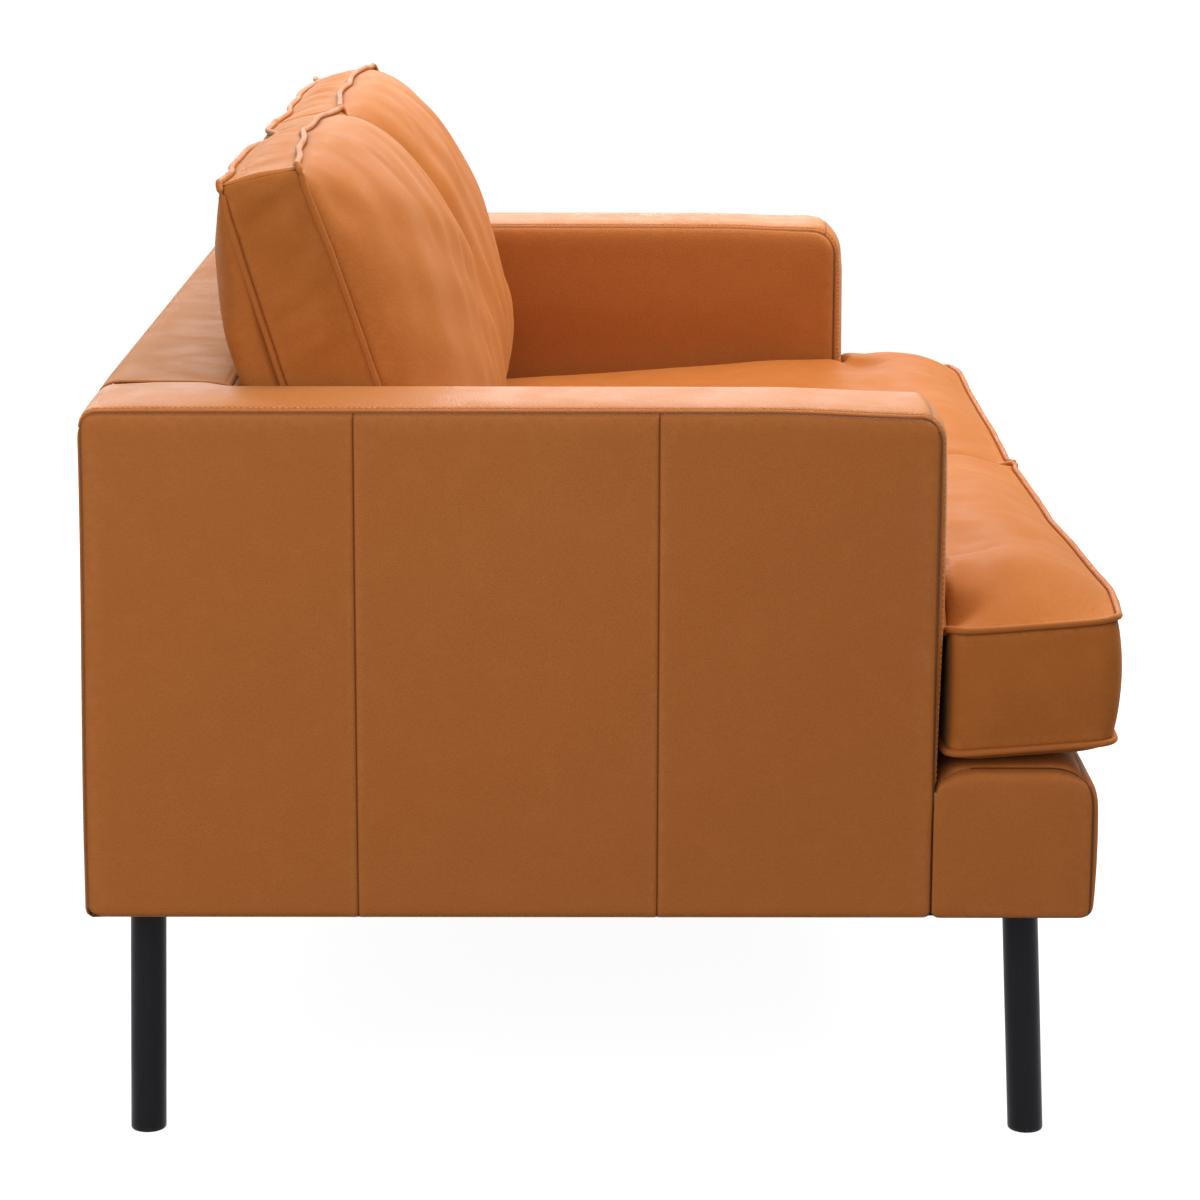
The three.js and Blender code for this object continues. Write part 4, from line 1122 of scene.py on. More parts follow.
class SOFA_OT_front_box(bpy.types.Operator):
    """The padded box under the seat cushions: an outline carried across the sofa between two end panels"""
    bl_idname = "sofa.front_box"
    bl_label = "Front Box"

    def execute(self, context):
        sizes = context.scene.sofa_upholstery
        front, rear = FRONT_LOW[1] + 0.0045, FRONT_HIGH[1]
        low, top = UNDER_Z - sizes.hem_drop, FRONT_HIGH[2] - 0.0008
        us = grid_lines(front, rear, 0.012)
        vs = grid_lines(low, top, 0.012)
        cells = np.ones((len(us) - 1, len(vs) - 1), bool)
        last_u, last_v = len(us) - 1, len(vs) - 1
        half = HALF_WIDTH - sizes.seam_inset
        xs = with_seams(grid_lines(-half, half, 0.02), (0.0,))[::-1]
        levels = len(xs) - 1
        nodes, loop, faces = boxed(us, vs, cells, [(0, 0), (last_u, 0), (last_u, last_v), (0, last_v)],
                                   levels)
        corners = [(front, low, 1, 1, 0.008), (rear, low, -1, 1, 0.006),
                   (rear, top, -1, -1, 0.034), (front, top, 1, -1, sizes.front_box_radius + 0.008)]
        u, v = us[nodes[:, 0]], vs[nodes[:, 1]]
        y, z = rounded(u, v, corners)
        inset = np.minimum(np.minimum(u - front, rear - u + 0.006), np.minimum(v - low, top - v))
        swell = sizes.seam_inset * shoulder(inset / sizes.edge_roll) + 0.0022 * ease(inset / 0.05)
        # The end panels roll over at their top, where their seam lies on the box's upper side and puckers.
        over_top = np.clip((v - (top - sizes.front_box_roll)) / sizes.front_box_roll, 0, 1)
        rolled = sizes.front_box_roll * (1 - np.sqrt(1 - over_top ** 2))
        pucker = 0.0010 * np.sin(TAU * (u - v) / 0.011) * np.exp(-(np.hypot(u - front, top - v) / 0.030) ** 2)
        swell = swell - rolled + pucker * np.exp(-inset / 0.010)
        z = z - 0.35 * rolled
        ends = [np.stack([s * (half + swell), y, z], 1) for s in (1, -1)]
        ring_y, ring_z = y[loop], z[loop]
        ahead = np.stack([np.roll(ring_y, -1) - np.roll(ring_y, 1),
                          np.roll(ring_z, -1) - np.roll(ring_z, 1)], 1)
        ahead /= np.linalg.norm(ahead, axis=1, keepdims=True)
        out_y, out_z = ahead[:, 1], -ahead[:, 0]
        x = xs[1:-1]
        side = half - np.abs(x)
        roll = shoulder(side / (sizes.edge_roll * 0.9))
        middle = np.sin(np.clip((ring_z - low) / (top - low), 0, 1) * math.pi) ** 0.6
        push = (0.0030 + sizes.front_box_swell * middle) * np.clip(-out_y, 0, 1) \
            + 0.0006 * np.clip(out_z, 0, 1)
        push = push[None] * roll[:, None] \
            + flat_seam(x, 0.0012)[:, None] * np.clip(-out_y + out_z, 0, 1)[None]
        fade = np.exp(-side / 0.020)[:, None]
        drawn_in = np.sign(x)[:, None] * (rolled - pucker)[loop][None] * fade
        sunk = 0.35 * rolled[loop][None] * (fade - 1)
        strip = np.stack(np.broadcast_arrays(x[:, None] - drawn_in, ring_y + out_y * push,
                                             ring_z - sunk + out_z * push), -1)
        points = np.concatenate([*ends, strip.reshape(-1, 3)])
        over = np.minimum(side, np.abs(x))[:, None] + 0 * ring_y[None]
        seam = np.concatenate([inset, inset, over.ravel()])
        seam[:2 * len(inset)] = np.where(np.concatenate([u, u]) > rear - 0.03, 0.05, seam[:2 * len(inset)])
        made = piece("front_box", points, faces, "frame", MATERIALS["panel"],
                     ("front_box_cover", "front_foam"), seam=seam)
        refine(made, [loop, loop + len(nodes)])
        return {"FINISHED"}


# ---------------------------------------------------------------- cushions

def seat_under(sizes, y):
    """Height of the plane that the seat cushions rest on."""
    front_y = SEAT_LOW[1]
    front_z = SEAT_HIGH[2] - sizes.seat_crown - sizes.seat_boxing - sizes.seat_under_crown
    return front_z - (y - front_y) * math.tan(sizes.seat_pitch)


def hump(distance, run, power=2.0):
    return shoulder(distance / run, power)


def seat_shape(sizes, hand):
    """A boxed L: body between the arms and an ear before the arm. The top is a crown of rounded shoulders
    over both rectangles, the strip swells between its seams, and the front seam bows in plan."""
    gap = SEAT_LOW[0]
    body, full = sizes.body_width + gap, float(SEAT_HIGH[0])
    front, rear = float(SEAT_LOW[1]), float(SEAT_HIGH[1])
    ear = front + sizes.ear_depth - 0.003
    edge = (0.0, 0.003, 0.008, 0.015)
    us = np.concatenate([grid_lines(gap, body, sizes.grid, edge),
                         grid_lines(body, full, sizes.grid, edge)[1:]])
    vs = np.concatenate([grid_lines(front, ear, sizes.grid, edge),
                         grid_lines(ear, rear, sizes.grid, edge)[1:]])
    iu, iv = int(np.argmin(np.abs(us - body))), int(np.argmin(np.abs(vs - ear)))
    last_u, last_v = len(us) - 1, len(vs) - 1
    cells = (np.arange(last_u)[:, None] < iu) | (np.arange(last_v)[None] < iv)
    levels = 13
    nodes, loop, faces = boxed(
        us, vs, cells, [(0, 0), (last_u, 0), (last_u, iv), (iu, iv), (iu, last_v), (0, last_v)], levels)
    u, v = us[nodes[:, 0]], vs[nodes[:, 1]]
    r = sizes.seat_corner
    x, y = rounded(u, v, [(gap, front, 1, 1, r), (full, front, -1, 1, r), (full, ear, -1, -1, r),
                          (body, rear, -1, -1, r), (gap, rear, 1, -1, r)])
    # Distances from the edges of the body and of the ear.
    run = sizes.seat_crown_run
    across, along = np.minimum(u - gap, body - u), np.minimum(v - front, rear - v)
    over_ear, along_ear = np.minimum(u - gap, full - u), np.minimum(v - front, ear - v)

    def slope(distance, reach, power=2.2):
        return 1 - (1 - np.clip(distance / reach, 0, 1)) ** power

    # A tight shoulder beside the arm, the twin and the back. A gentle slope up from the front and the end.
    ahead = slope(v - front, run * 1.75)
    tight = 0.14
    beside_arm = run * (tight + 0.66 * ease((v - ear) / 0.14))
    behind_ear = run * (tight + 0.40 * ease((u - full + 0.075) / 0.065) + 1.3 * ease((body - u) / 0.04))
    end_run = run * {"left": 2.4, "right": 2.2}[hand]
    before_arm = ease((ear + 0.02 - v) / 0.08)
    inwards = hump(body - u, beside_arm) * (1 - before_arm) + ease((body - u) / 0.17) * before_arm
    a = inwards * hump(rear - v, run) * (u <= body)
    pressed = {"left": 0.8, "right": 0.9}[hand] * ease((u - body) / 0.03) \
        * (1 - ease((u - full + 0.080) / 0.055))
    against_arm = pressed + (1 - pressed) * slope(ear - v, behind_ear)
    b = slope(full - u, end_run, 2.0) * against_arm * (v <= ear)
    lower = {"left": 0.30, "right": 0.42}[hand] * (1 - ease((u - gap) / 0.26))
    over_body = ease((v - ear) / 0.12)
    far_only = {"left": 0.0, "right": 1.0}[hand]
    lower = lower + far_only * ease((u - 0.35) / 0.25) * (0.06 - 0.24 * over_body)
    rise = sizes.seat_crown * (a + b - a * b) * hump(u - gap, run * 0.7) * ahead * (1 - lower)
    flat_a = hump(across, 0.03) * hump(along, 0.03) * (u <= body)
    flat_b = hump(over_ear, 0.03) * hump(along_ear, 0.03) * (v <= ear)
    underside = flat_a + flat_b - flat_a * flat_b
    inside = np.maximum(np.minimum(across, along) * (u <= body), np.minimum(over_ear, along_ear) * (v <= ear))
    # The front seam bows in plan: in at the middle of the sofa, out before each arm.
    bows = {"left": ([0, .06, .15, .30, .40, .49, .615, .67, .74],
                     [.008, .006, .005, .004, -.002, -.006, -.010, -.007, -.001]),
            "right": ([0, .10, .22, .40, .64, .74], [.010, .007, .005, .003, -.002, -.001])}
    nub = np.exp(-(np.hypot(u - gap, v - front) / 0.012) ** 2)
    bow = np.interp(u, *bows[hand]) * (1 - ease((v - front) / 0.09)) \
        - {"left": 0.006, "right": 0.009}[hand] * nub
    seam_up = 0.002 * nub + 0.003 * (1 - u / full) + 0.0008 * waves(u / full, 11, 4, 1.0)
    corner = np.exp(-(np.hypot(full - u, v - front) / 0.014) ** 2)
    corner_rear = np.exp(-(np.hypot(full - u, v - ear) / 0.014) ** 2)
    end_up = {"left": 0.002, "right": -0.006}[hand] * np.exp(-((full - u) / 0.05) ** 2)
    lift = (seam_up + end_up + 0.001 * corner + 0.001 * corner_rear) * (1 - ease(inside / 0.03))
    # A dent by the ear's rear corner, with a soft crease running inwards from it.
    du, dv = full - 0.036 - u, ear - 0.010 - v
    aside, onward = 0.94 * dv - 0.34 * du, 0.94 * du + 0.34 * dv
    dent = 1.5 * np.exp(-(np.hypot(du, dv) / 0.015) ** 2) \
        + 0.5 * np.exp(-(aside / 0.012) ** 2) * ease(onward / 0.02) * np.exp(-onward / 0.06)
    soft = waves(u * 1.1 + v * 0.35, 21 if hand == "left" else 22, 6, 0.0022) \
        + waves(v * 1.3 - u * 0.30, 23 if hand == "left" else 24, 5, 0.0016)
    under = seat_under(sizes, y) + sizes.seat_under_crown
    top_z = under + sizes.seat_boxing + lift + rise + (soft - 0.0030) * ease(inside / 0.09) - 0.009 * dent
    top = np.stack([x, y + bow, top_z], 1)
    low_z = under - sizes.seat_under_crown * underside * 0.97 \
        + 0.005 * ease((u - body) / 0.04) * (1 - underside)
    bottom = np.stack([x, y + 0.5 * bow, low_z], 1)
    # The strip between the two seams, swelling outwards.
    rim, foot = top[loop], bottom[loop]
    ahead = np.roll(rim, -1, 0) - np.roll(rim, 1, 0)
    out = np.stack([ahead[:, 1], -ahead[:, 0]], 1)
    out /= np.linalg.norm(out, axis=1, keepdims=True)
    lu, lv = u[loop], v[loop]
    swell = np.select([lv < front + 0.02, (lu > full - 0.02), (lv > rear - 0.02)],
                      [sizes.seat_swell, sizes.seat_swell * 0.75, 0.0005], 0.0)
    swell = np.where((lv > ear - 0.004) & (lu > body - 0.004) & (lv < rear - 0.02), -0.0015, swell)
    swell = np.convolve(np.concatenate([swell[-3:], swell, swell[:3]]), np.ones(7) / 7, "valid")
    t = np.linspace(0, 1, levels + 1)[1:-1, None]
    along_rim = np.arange(len(loop)) / len(loop)
    wave = 1 + waves(along_rim * 3, 31, 7, 0.22)
    bulge = swell * wave * np.sin(math.pi * t) ** 0.75
    strip = rim * (1 - t[..., None]) + foot * t[..., None]
    strip[..., :2] += bulge[..., None] * out
    points = np.concatenate([top, bottom, strip.reshape(-1, 3)])
    near = np.concatenate([inside, inside,
                           np.repeat(np.minimum(t, 1 - t) * sizes.seat_boxing, len(loop), 1).ravel()])
    # Filling pushes least where the cushion lies against something.
    free_top = ease((inside - 0.002) / 0.03)
    free_strip = np.where(swell > 0.003, 1.0, 0.0)[None] * np.sin(math.pi * t)
    held = 1 - np.concatenate([free_top, 0 * inside, free_strip.ravel()])
    middle_row = 2 * len(u) + (levels // 2 - 1) * len(loop)
    zipped = middle_row + np.flatnonzero((lv > rear - 0.004)
                                         & (np.abs(lu - (gap + body) / 2) < 0.4 * (body - gap)))
    return points, faces, [loop, loop + len(nodes)], near, held, zipped


def pad_shape(sizes, hand):
    """A leaning boxed cushion in its own frame: p across, q up its lean, n out of its face. Its face and
    rear are crowns of rounded shoulders with their own run at the top and at the bottom."""
    lean = sizes.pad_lean
    gap, wide = float(PAD_LOW[0]), float(PAD_HIGH[0])
    tall, box_n = sizes.pad_length, sizes.pad_boxing
    edge = (0.0, 0.003, 0.008, 0.015)
    us, vs = grid_lines(gap, wide, sizes.grid, edge), grid_lines(0.0, tall, sizes.grid, edge)
    last_u, last_v = len(us) - 1, len(vs) - 1
    levels = 10
    nodes, loop, faces = boxed(us, vs, np.ones((last_u, last_v), bool),
                               [(0, 0), (last_u, 0), (last_u, last_v), (0, last_v)], levels)
    u, v = us[nodes[:, 0]], vs[nodes[:, 1]]
    r = sizes.pad_corner
    p, q = rounded(u, v, [(gap, 0.0, 1, 1, r), (wide, 0.0, -1, 1, r), (wide, tall, -1, -1, r),
                          (gap, tall, 1, -1, r)])
    side = np.minimum(u - gap, wide - u)
    middle = np.sin(math.pi * np.clip((u - gap) / (wide - gap), 0, 1)) ** 1.1
    above, below = tall - v, v
    run = sizes.pad_crown_run
    seed = 41 if hand == "left" else 61
    inside = np.minimum(side, np.minimum(above, below))
    soft = waves(u * 1.9 + v * 0.8, seed, 6, 0.0034) + waves(v * 2.3 - u * 0.7, seed + 1, 6, 0.0026)
    soft = soft * ease(inside / 0.10)
    # Face: it leaves its top seam squarely, then follows a long rounded shoulder down to its fullest height,
    # and a shorter one at the bottom and at the sides.
    leave = 0.009 * (1 - np.exp(-above / 0.009))
    top_seam = (0.0080 + 0.0070 * middle) * np.exp(-above / 0.060)
    reach = 0.009 * middle + above - leave
    square = 1 - np.exp(-inside / 0.004)
    full = hump(reach, run, 2.0) * hump(below, 0.11, 1.7) * hump(u - gap + 0.003, run * 0.9) \
        * hump(wide - u + 0.003, 0.30)
    crown = (sizes.pad_crown + top_seam) * full * square
    nub = np.exp(-(np.hypot(side, above) / 0.012) ** 2)
    shear = -0.017 * (1 - ease(below / 0.16))
    raised = (-0.003 + 0.009 * middle) * np.exp(-above / 0.10)
    wobble = np.exp(-above / 0.012) * ease(side / 0.12)
    drift = waves(u / 0.62, seed + 8, 4, 0.0030) * wobble
    raised = raised + waves(u / 0.62, seed + 9, 4, 0.0018) * wobble
    dimple = 0.007 * np.exp(-(np.hypot(wide - u - 0.032, above - 0.045) / 0.020) ** 2)
    face = np.stack([p, q + shear + raised + leave * middle * np.exp(-above / 0.10) + 0.003 * nub,
                     box_n - top_seam + crown + soft - dimple + 0.002 * nub + drift], 1)
    # Rear: flat against the back, rounded to its seams; the rear top seam stands a little higher.
    deep = sizes.pad_rear_crown
    rear_crown = deep * hump(above, 0.064, 1.6) * hump(below, 0.045, 2.2) \
        * hump(side, 0.024 + 0.166 * ease((v - 0.24) / 0.12))
    clear = ease((v - 0.21) / 0.05) * ease(above / 0.05) * ease(side / 0.10)
    rear_up = (0.003 + 0.004 * middle) * np.exp(-above / 0.04)
    sunk = {"left": 0.013 * np.exp(-((u - 0.20) / 0.075) ** 2),
            "right": 0.004 * np.exp(-((u - 0.10) / 0.06) ** 2)}[hand]
    seam_in = (0.004 - 0.003 * middle + sunk) * np.exp(-above / 0.05) \
        + {"left": 0.0065, "right": 0.0095}[hand] * np.exp(-(above / 0.10) ** 2) * ease((u - 0.04) / 0.20) \
        * ease((wide - u) / 0.10)
    rear = np.stack([p, q + rear_up + 0.003 * nub - 0.5 * sunk * np.exp(-above / 0.05),
                     seam_in - rear_crown + waves(u / 0.56, seed + 10, 4, 0.0032) * wobble], 1)
    rim, foot = face[loop], rear[loop]
    ahead = np.roll(p[loop], -1) - np.roll(p[loop], 1), np.roll(q[loop], -1) - np.roll(q[loop], 1)
    out = np.stack([ahead[1], -ahead[0]], 1)
    out /= np.linalg.norm(out, axis=1, keepdims=True)
    lu, lv = u[loop], v[loop]
    outer = wide - 0.02
    swell = np.select([lv > tall - 0.02, lu > outer, lu < gap + 0.02],
                      [0.0045 * middle[loop] + 0.002, 0.0035, 0.0], -0.002)
    swell = np.convolve(np.concatenate([swell[-3:], swell, swell[:3]]), np.ones(7) / 7, "valid")
    w = np.linspace(0, 1, levels + 1)[1:-1, None]
    wave = 1 + waves(np.arange(len(loop)) / len(loop) * 4, seed + 5, 8, 0.20)
    bulge = swell * wave * np.sin(math.pi * w) ** 0.8
    # Soft folds fan out over the outer end from its upper corner.
    drop = tall - lv
    fold = 0.0036 * np.exp(-(drop / 0.15) ** 2) \
        * np.sin(TAU * (drop / 0.046 - 0.9 * w + 0.6 * np.sin(7 * drop / 0.15))) \
        + 0.0020 * waves(drop / 0.30 - 0.35 * w, seed + 12, 7, 1.0) \
            * (0.35 + 0.65 * np.exp(-(drop / 0.2) ** 2))
    bulge = bulge + fold * ((lu > outer) * ease(drop / 0.02) * ease(lv / 0.05)) * np.sin(math.pi * w)
    strip = rim * (1 - w[..., None]) + foot * w[..., None]
    strip[..., :2] += bulge[..., None] * out
    local = np.concatenate([face, rear, strip.reshape(-1, 3)])
    # From the cushion's own frame to the sofa's.
    up, ahead = np.array([0, math.sin(lean), math.cos(lean)]), np.array([0, -math.cos(lean), math.sin(lean)])
    start_z = PAD_HIGH[2] - (tall * math.cos(lean) + box_n * math.sin(lean))
    start_y = KNEE_Y - (deep + 0.0005) / math.cos(lean) + (start_z - knee_height(sizes)) * math.tan(lean)
    points = local[:, :1] * np.array([1.0, 0, 0]) + local[:, 1:2] * up + local[:, 2:] * ahead
    points += np.array([0, start_y, start_z])
    near = np.concatenate([inside, inside, np.repeat(np.minimum(w, 1 - w) * box_n, len(loop), 1).ravel()])
    # Short mitre seams cross the strip at its two upper corners, drawn only as lines of painted seam shade.
    turn = np.minimum(np.hypot(lu - wide, lv - tall), np.hypot(lu - gap, lv - tall))
    near[2 * len(u):] = np.minimum(near[2 * len(u):], np.tile(0.0004 + 4 * turn, levels - 1))
    free_face = ease((inside - 0.002) / 0.03) * ease((below - 0.02) / 0.06)
    free_strip = np.where(lv > tall - 0.02, 1.0, np.where(lu > outer, 0.6, 0.0))[None] * np.sin(math.pi * w)
    held = 1 - np.concatenate([free_face, 0.6 * clear, free_strip.ravel()])
    middle_row = 2 * len(u) + (levels // 2 - 1) * len(loop)
    zipped = middle_row + np.flatnonzero((lv < 0.004) & (np.abs(lu - (gap + wide) / 2) < 0.4 * (wide - gap)))
    return points, faces, [loop, loop + len(nodes)], near, held, zipped


def knee_height(sizes):
    """Height at which the inside back begins to lean."""
    return TOP_Z - (BACK_TOP_Y - KNEE_Y) / math.tan(sizes.pad_lean)


CUSHIONS = []


class SOFA_OT_seat_cushions(bpy.types.Operator):
    """Two boxed seat cushions with an ear in front of each arm"""
    bl_idname = "sofa.seat_cushions"
    bl_label = "Seat Cushions"

    def execute(self, context):
        for hand, sign in HANDS.items():
            CUSHIONS.append(make_cushion(f"seat_cushion_leather_{hand}", f"seat_cushion_{hand}", sign, "seat",
                                         (f"seat_cushion_cover_{hand}", f"seat_cushion_core_{hand}"),
                                         *seat_shape(context.scene.sofa_cushions, hand)))
        return {"FINISHED"}


class SOFA_OT_back_cushions(bpy.types.Operator):
    """Two boxed back cushions, leaning against the inside back"""
    bl_idname = "sofa.back_cushions"
    bl_label = "Back Cushions"

    def execute(self, context):
        for hand, sign in HANDS.items():
            CUSHIONS.append(make_cushion(f"back_cushion_leather_{hand}", f"back_cushion_{hand}", sign, "pad",
                                         (f"back_cushion_cover_{hand}", f"back_cushion_fill_{hand}"),
                                         *pad_shape(context.scene.sofa_cushions, hand)))
        return {"FINISHED"}


def make_cushion(name, body, sign, finish, stands_for, points, faces, loops, near, held, zipped):
    """The cushion as a piece, with its seams, how firmly each point is held, and the points of its zip."""
    points, faces = mirror(points, faces, sign)
    made = piece(name, points, faces, body, MATERIALS[finish], stands_for, seam=near)
    group = made.vertex_groups.new(name="held")
    for level in range(11):
        chosen = np.flatnonzero(np.rint(held * 10).astype(int) == level)
        group.add(chosen.tolist(), level / 10, "REPLACE")
    return made, loops, held, zipped


def averaged(mesh, field, rounds):
    """The field's broad part: each point takes the mean of its neighbours and itself, round after round."""
    ends = np.empty(len(mesh.edges) * 2, np.int64)
    mesh.edges.foreach_get("vertices", ends)
    first, second = ends.reshape(-1, 2).T
    count = np.bincount(ends, minlength=len(field))[:, None]
    for _ in range(rounds):
        total = np.stack([np.bincount(first, field[second, axis], len(field))
                          + np.bincount(second, field[first, axis], len(field)) for axis in range(3)], 1)
        field = (total / count + field) / 2
    return field


class SOFA_OT_filling(bpy.types.Operator):
    """Fills the cushions: their leather, a little larger than its filling and held at its seams,
    is pressed outwards and settles into folds"""
    bl_idname = "sofa.filling"
    bl_label = "Filling"

    def execute(self, context):
        sizes = context.scene.sofa_cushions
        self.settle(context, sizes)
        for made, loops, *_ in CUSHIONS:
            refine(made, loops)
        return {"FINISHED"}

    def settle(self, context, sizes):
        scene = context.scene
        starts = []
        for made, *_ in CUSHIONS:
            start = np.empty(len(made.data.vertices) * 3)
            made.data.vertices.foreach_get("co", start)
            starts.append(start.reshape(-1, 3))
            cloth = made.modifiers.new("Cloth", "CLOTH")
            cloth.settings.quality = 6
            cloth.settings.mass = 0.5
            cloth.settings.air_damping = 3.0
            cloth.settings.tension_stiffness = cloth.settings.compression_stiffness = 25.0
            cloth.settings.shear_stiffness = 12.0
            cloth.settings.bending_stiffness = 4.0
            cloth.settings.use_pressure = True
            cloth.settings.uniform_pressure_force = sizes.pressure
            cloth.settings.shrink_min = -sizes.slack
            cloth.settings.vertex_group_mass = "held"
            cloth.settings.effector_weights.gravity = 0.0
            cloth.collision_settings.use_collision = False
            cloth.point_cache.frame_start, cloth.point_cache.frame_end = 1, 20
        for frame_number in range(1, 21):
            scene.frame_set(frame_number)
            context.view_layer.update()
        moved = [shown_points(made)[0] for made, *_ in CUSHIONS]
        for (made, _, held, _), start, end in zip(CUSHIONS, starts, moved):
            shift = end - start
            far = np.linalg.norm(shift, axis=1, keepdims=True)
            shift *= np.minimum(1.0, sizes.reach / np.maximum(far, 1e-9))
            shift = averaged(made.data, shift, 2)
            broad = averaged(made.data, shift, 80)
            kept = sizes.folds * (0.4 if made.name.startswith("seat") else 1.0)
            shift = ((shift - broad) * kept + broad * sizes.give) * np.clip((1 - held) * 2.5, 0, 1)[:, None]
            made.modifiers.remove(made.modifiers["Cloth"])
            made.data.vertices.foreach_set("co", (start + shift).ravel())
            made.data.update()
        scene.frame_set(1)


class SOFA_OT_welts(bpy.types.Operator):
    """Piping: a round cord carried along each cushion's seams"""
    bl_idname = "sofa.welts"
    bl_label = "Welts"

    def execute(self, context):
        radius = context.scene.sofa_cushions.welt / 2
        for made, loops, *_ in CUSHIONS:
            points, normals = shown_points(made)
            body = made.name.replace("_leather", "")
            for place, loop in zip(("front" if "back" in body else "top",
                                    "rear" if "back" in body else "bottom"), loops):
                at = points[loop] + normals[loop] * radius * 0.85
                length_round = np.linalg.norm(np.roll(at, -1, 0) - at, axis=1).sum()
                path = spline(at, int(length_round / 0.006), closed=True)
                count = len(path)
                size = radius * (1 + waves(np.arange(count) / count * 6, 71, 9, 0.05))
                shape, faces = tube(path, size, 12)
                piece(f"{body}_welt_{place}", shape, outward(shape, faces), body, MATERIALS["welt"])
        return {"FINISHED"}


def outward(points, faces, sides=12):
    """The tube's faces, turned to face outwards. Its first faces go once around it."""
    quad = points[faces[:sides]]
    normal = np.cross(quad[:, 1] - quad[:, 0], quad[:, 3] - quad[:, 0])
    middle = quad.mean(1) - quad.mean((0, 1))
    return faces[:, ::-1] if (normal * middle).sum() < 0 else faces


# ---------------------------------------------------------------- stitching and zips

def capsules(centres, ahead, normals, size, width):
    """Stitches: short rods of four sections and four sides, pinched at both ends and half sunk."""
    sections = np.array([-0.5, -0.34, 0.34, 0.5])
    thick = np.array([0.35, 1.0, 1.0, 0.35])
    dip = np.array([-0.5, 0.35, 0.35, -0.5])
    across = np.cross(ahead, normals)
    turn = np.radians([45, 135, 225, 315])
    count = len(centres)
    along = centres[:, None, None] + sections[None, :, None, None] * size * ahead[:, None, None]
    ring = width * thick[None, :, None, None] * (
        np.cos(turn)[None, None, :, None] * across[:, None, None] + np.sin(turn)[None, None, :, None]
        * normals[:, None, None])
    points = along + ring + (dip * width)[None, :, None, None] * normals[:, None, None]
    k = np.arange(16).reshape(4, 4)
    on = np.roll(k, -1, 1)
    walls = np.stack([k[:-1], on[:-1], on[1:], k[1:]], -1).reshape(-1, 4)
    one = np.concatenate([walls, k[:1, ::-1], k[-1:]])
    normal = np.cross(points[0].reshape(-1, 3)[one[0, 1]] - points[0].reshape(-1, 3)[one[0, 0]],
                      points[0].reshape(-1, 3)[one[0, 2]] - points[0].reshape(-1, 3)[one[0, 0]])
    if normal @ (points[0].reshape(-1, 3)[one[0]].mean(0) - points[0].reshape(-1, 3).mean(0)) < 0:
        one = one[:, ::-1]
    faces = (np.arange(count)[:, None, None] * 16 + one[None]).reshape(-1, 4)
    return points.reshape(-1, 3), faces


class SOFA_OT_stitching(bpy.types.Operator):
    """Topstitches beside the seams of the bands: short rods spaced along each line"""
    bl_idname = "sofa.stitching"
    bl_label = "Stitching"

    def execute(self, context):
        sizes = context.scene.sofa_upholstery
        all_points, all_faces, start = [], [], 0
        for path, normals in BUILT["stitch_rows"]:
            along = np.concatenate([[0], np.cumsum(np.linalg.norm(np.diff(path, axis=0), axis=1))])
            at = np.arange(sizes.stitch_pitch / 2, along[-1], sizes.stitch_pitch)
            centres = np.stack([np.interp(at, along, path[:, i]) for i in range(3)], 1)
            facing = np.stack([np.interp(at, along, normals[:, i]) for i in range(3)], 1)
            facing /= np.linalg.norm(facing, axis=1, keepdims=True)
            ahead = np.gradient(centres, axis=0)
            ahead /= np.linalg.norm(ahead, axis=1, keepdims=True)
            points, faces = capsules(centres, ahead, facing, sizes.stitch_length, sizes.stitch_width * 0.7)
            all_points.append(points)
            all_faces.append(faces + start)
            start += len(points)
        piece("band_stitching", np.concatenate(all_points), np.concatenate(all_faces), "frame",
              MATERIALS["thread"], slot="thread")
        return {"FINISHED"}


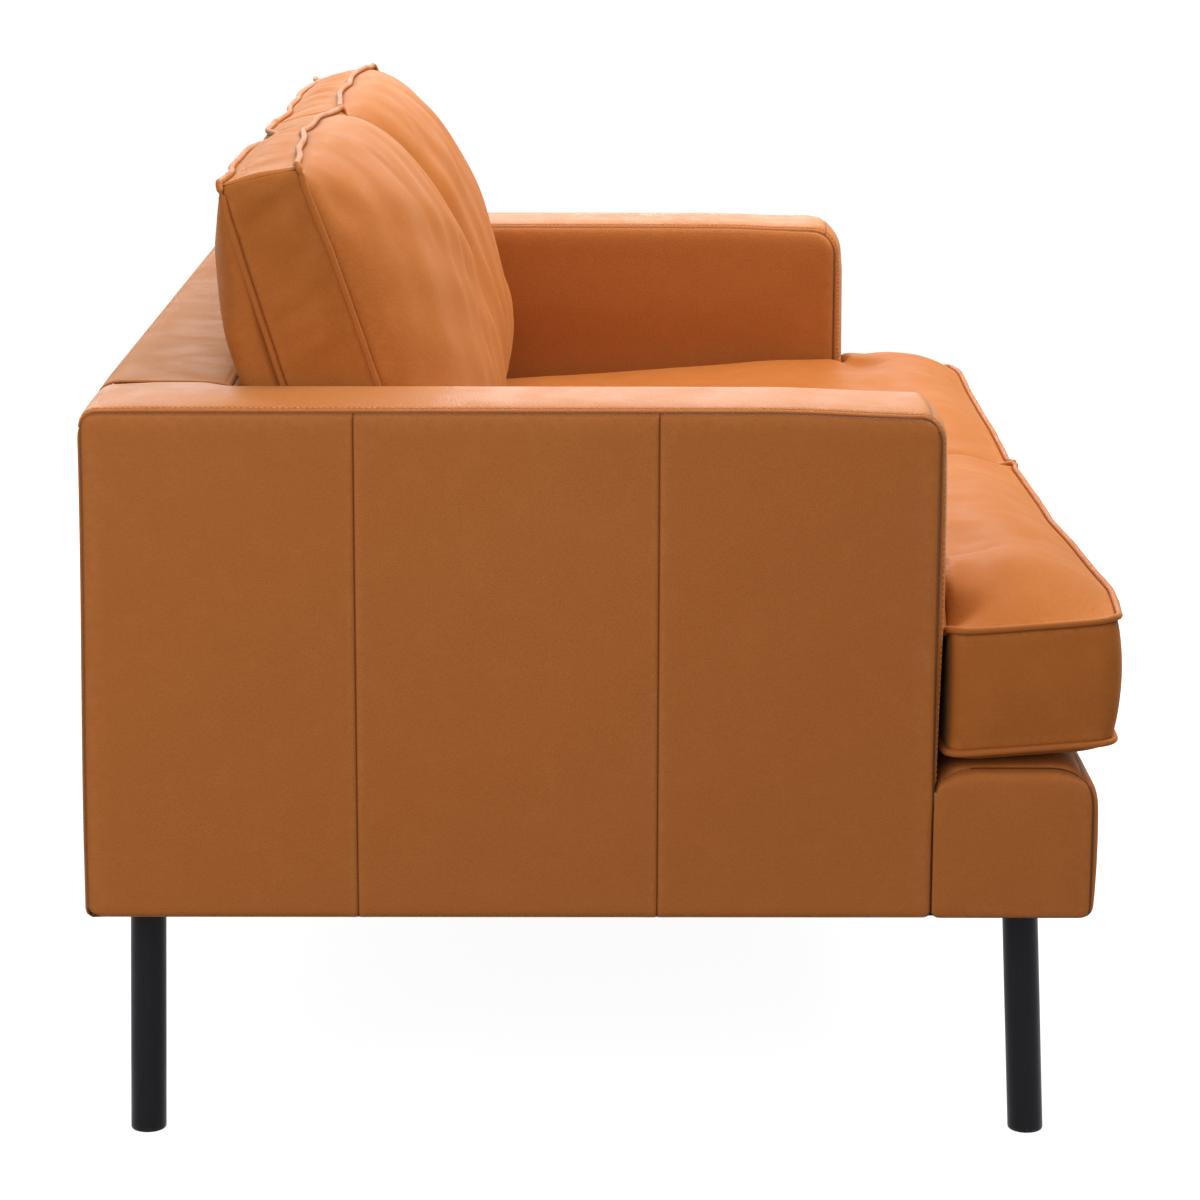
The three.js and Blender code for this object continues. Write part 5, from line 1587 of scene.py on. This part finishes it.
class SOFA_OT_zips(bpy.types.Operator):
    """A coil zip in the hidden edge of each cushion: its tape, its teeth and its slider with a pull"""
    bl_idname = "sofa.zips"
    bl_label = "Zips"

    def execute(self, context):
        sizes = context.scene.sofa_upholstery
        for made, _, _, zipped in CUSHIONS:
            body = made.name.replace("_leather", "")
            shown, facing = shown_points(made)
            path, out = spline(shown[zipped], 60), spline(facing[zipped], 60)
            out /= np.linalg.norm(out, axis=1, keepdims=True)
            ahead = np.gradient(path, axis=0)
            ahead /= np.linalg.norm(ahead, axis=1, keepdims=True)
            across = np.cross(ahead, out)
            self.bar(f"{body}_zip_tape", body, "tape", path, across, out, sizes.zip_width / 2, 0.0002, 0.0007)
            along = np.concatenate([[0], np.cumsum(np.linalg.norm(np.diff(path, axis=0), axis=1))])
            at = np.arange(sizes.zip_pitch, along[-1] - sizes.zip_pitch, sizes.zip_pitch)
            centres, up, side = (np.stack([np.interp(at, along, field[:, i]) for i in range(3)], 1)
                                 for field in (path + 0.0009 * out, out, across))
            teeth, faces = capsules(centres, side, up, sizes.zip_teeth, sizes.zip_pitch * 0.36)
            piece(f"{body}_zip_teeth", teeth, faces, body, MATERIALS["tape"], slot="zip")
            # The slider stands closed at one end, its pull lying along the teeth.
            for name, first, last, half, low, high in (
                    ("slider", 1, 2, 0.0038, 0.0008, 0.0027), ("pull", 2, 4, 0.0024, 0.0024, 0.0032)):
                self.bar(f"{body}_zip_{name}", body, "brass", path[first:last + 1], across[first:last + 1],
                         out[first:last + 1], half, low, high)
        return {"FINISHED"}

    def bar(self, name, body, finish, path, across, out, half, low, high):
        """A flat bar along a path, from `low` to `high` above it, closed at both ends."""
        ring = [path + a * half * across + h * out for a, h in ((-1, low), (1, low), (1, high), (-1, high))]
        points = np.stack(ring, 1).reshape(-1, 3)
        k = np.arange(len(points)).reshape(-1, 4)
        on = np.roll(k, -1, 1)
        faces = np.concatenate([np.stack([k[:-1], k[1:], on[1:], on[:-1]], -1).reshape(-1, 4), k[:1],
                                k[-1:, ::-1]])
        faces = outward(points, faces, 4)
        made = piece(name, points, faces, body, MATERIALS[finish], slot="zip", flat=True)
        edge = made.modifiers.new("Edge", "BEVEL")
        edge.width, edge.segments = (high - low) * 0.35, 2


# ---------------------------------------------------------------- panel and running

STEPS = (SOFA_OT_stage, SOFA_OT_finishes, SOFA_OT_frame, SOFA_OT_legs, SOFA_OT_cloths, SOFA_OT_arms,
         SOFA_OT_back,
         SOFA_OT_front_box, SOFA_OT_seat_cushions, SOFA_OT_back_cushions, SOFA_OT_filling, SOFA_OT_welts,
         SOFA_OT_stitching, SOFA_OT_zips)


class SOFA_PT_panel(bpy.types.Panel):
    """The sofa's steps and sizes"""
    bl_idname = "SOFA_PT_panel"
    bl_label = "Sofa"
    bl_space_type = "VIEW_3D"
    bl_region_type = "UI"
    bl_category = "Sofa"

    def draw(self, context):
        for step in STEPS:
            self.layout.operator(step.bl_idname)
        for settings in (context.scene.sofa_upholstery, context.scene.sofa_cushions,
                         context.scene.sofa_finishes):
            column = self.layout.box().column()
            for name in settings.__annotations__:
                column.prop(settings, name)


GROUPS = {"sofa_upholstery": SofaUpholstery, "sofa_cushions": SofaCushions, "sofa_finishes": SofaFinishes}
CLASSES = (*GROUPS.values(), *STEPS, SOFA_PT_panel)


def register():
    for made in CLASSES:
        bpy.utils.register_class(made)
    for name, group in GROUPS.items():
        setattr(bpy.types.Scene, name, bpy.props.PointerProperty(type=group))


def unregister():
    for name in GROUPS:
        delattr(bpy.types.Scene, name)
    for made in reversed(CLASSES):
        bpy.utils.unregister_class(made)


def main():
    register()
    for step in STEPS:
        family, name = step.bl_idname.split(".")
        getattr(getattr(bpy.ops, family), name)()


if __name__ == "__main__":
    main()
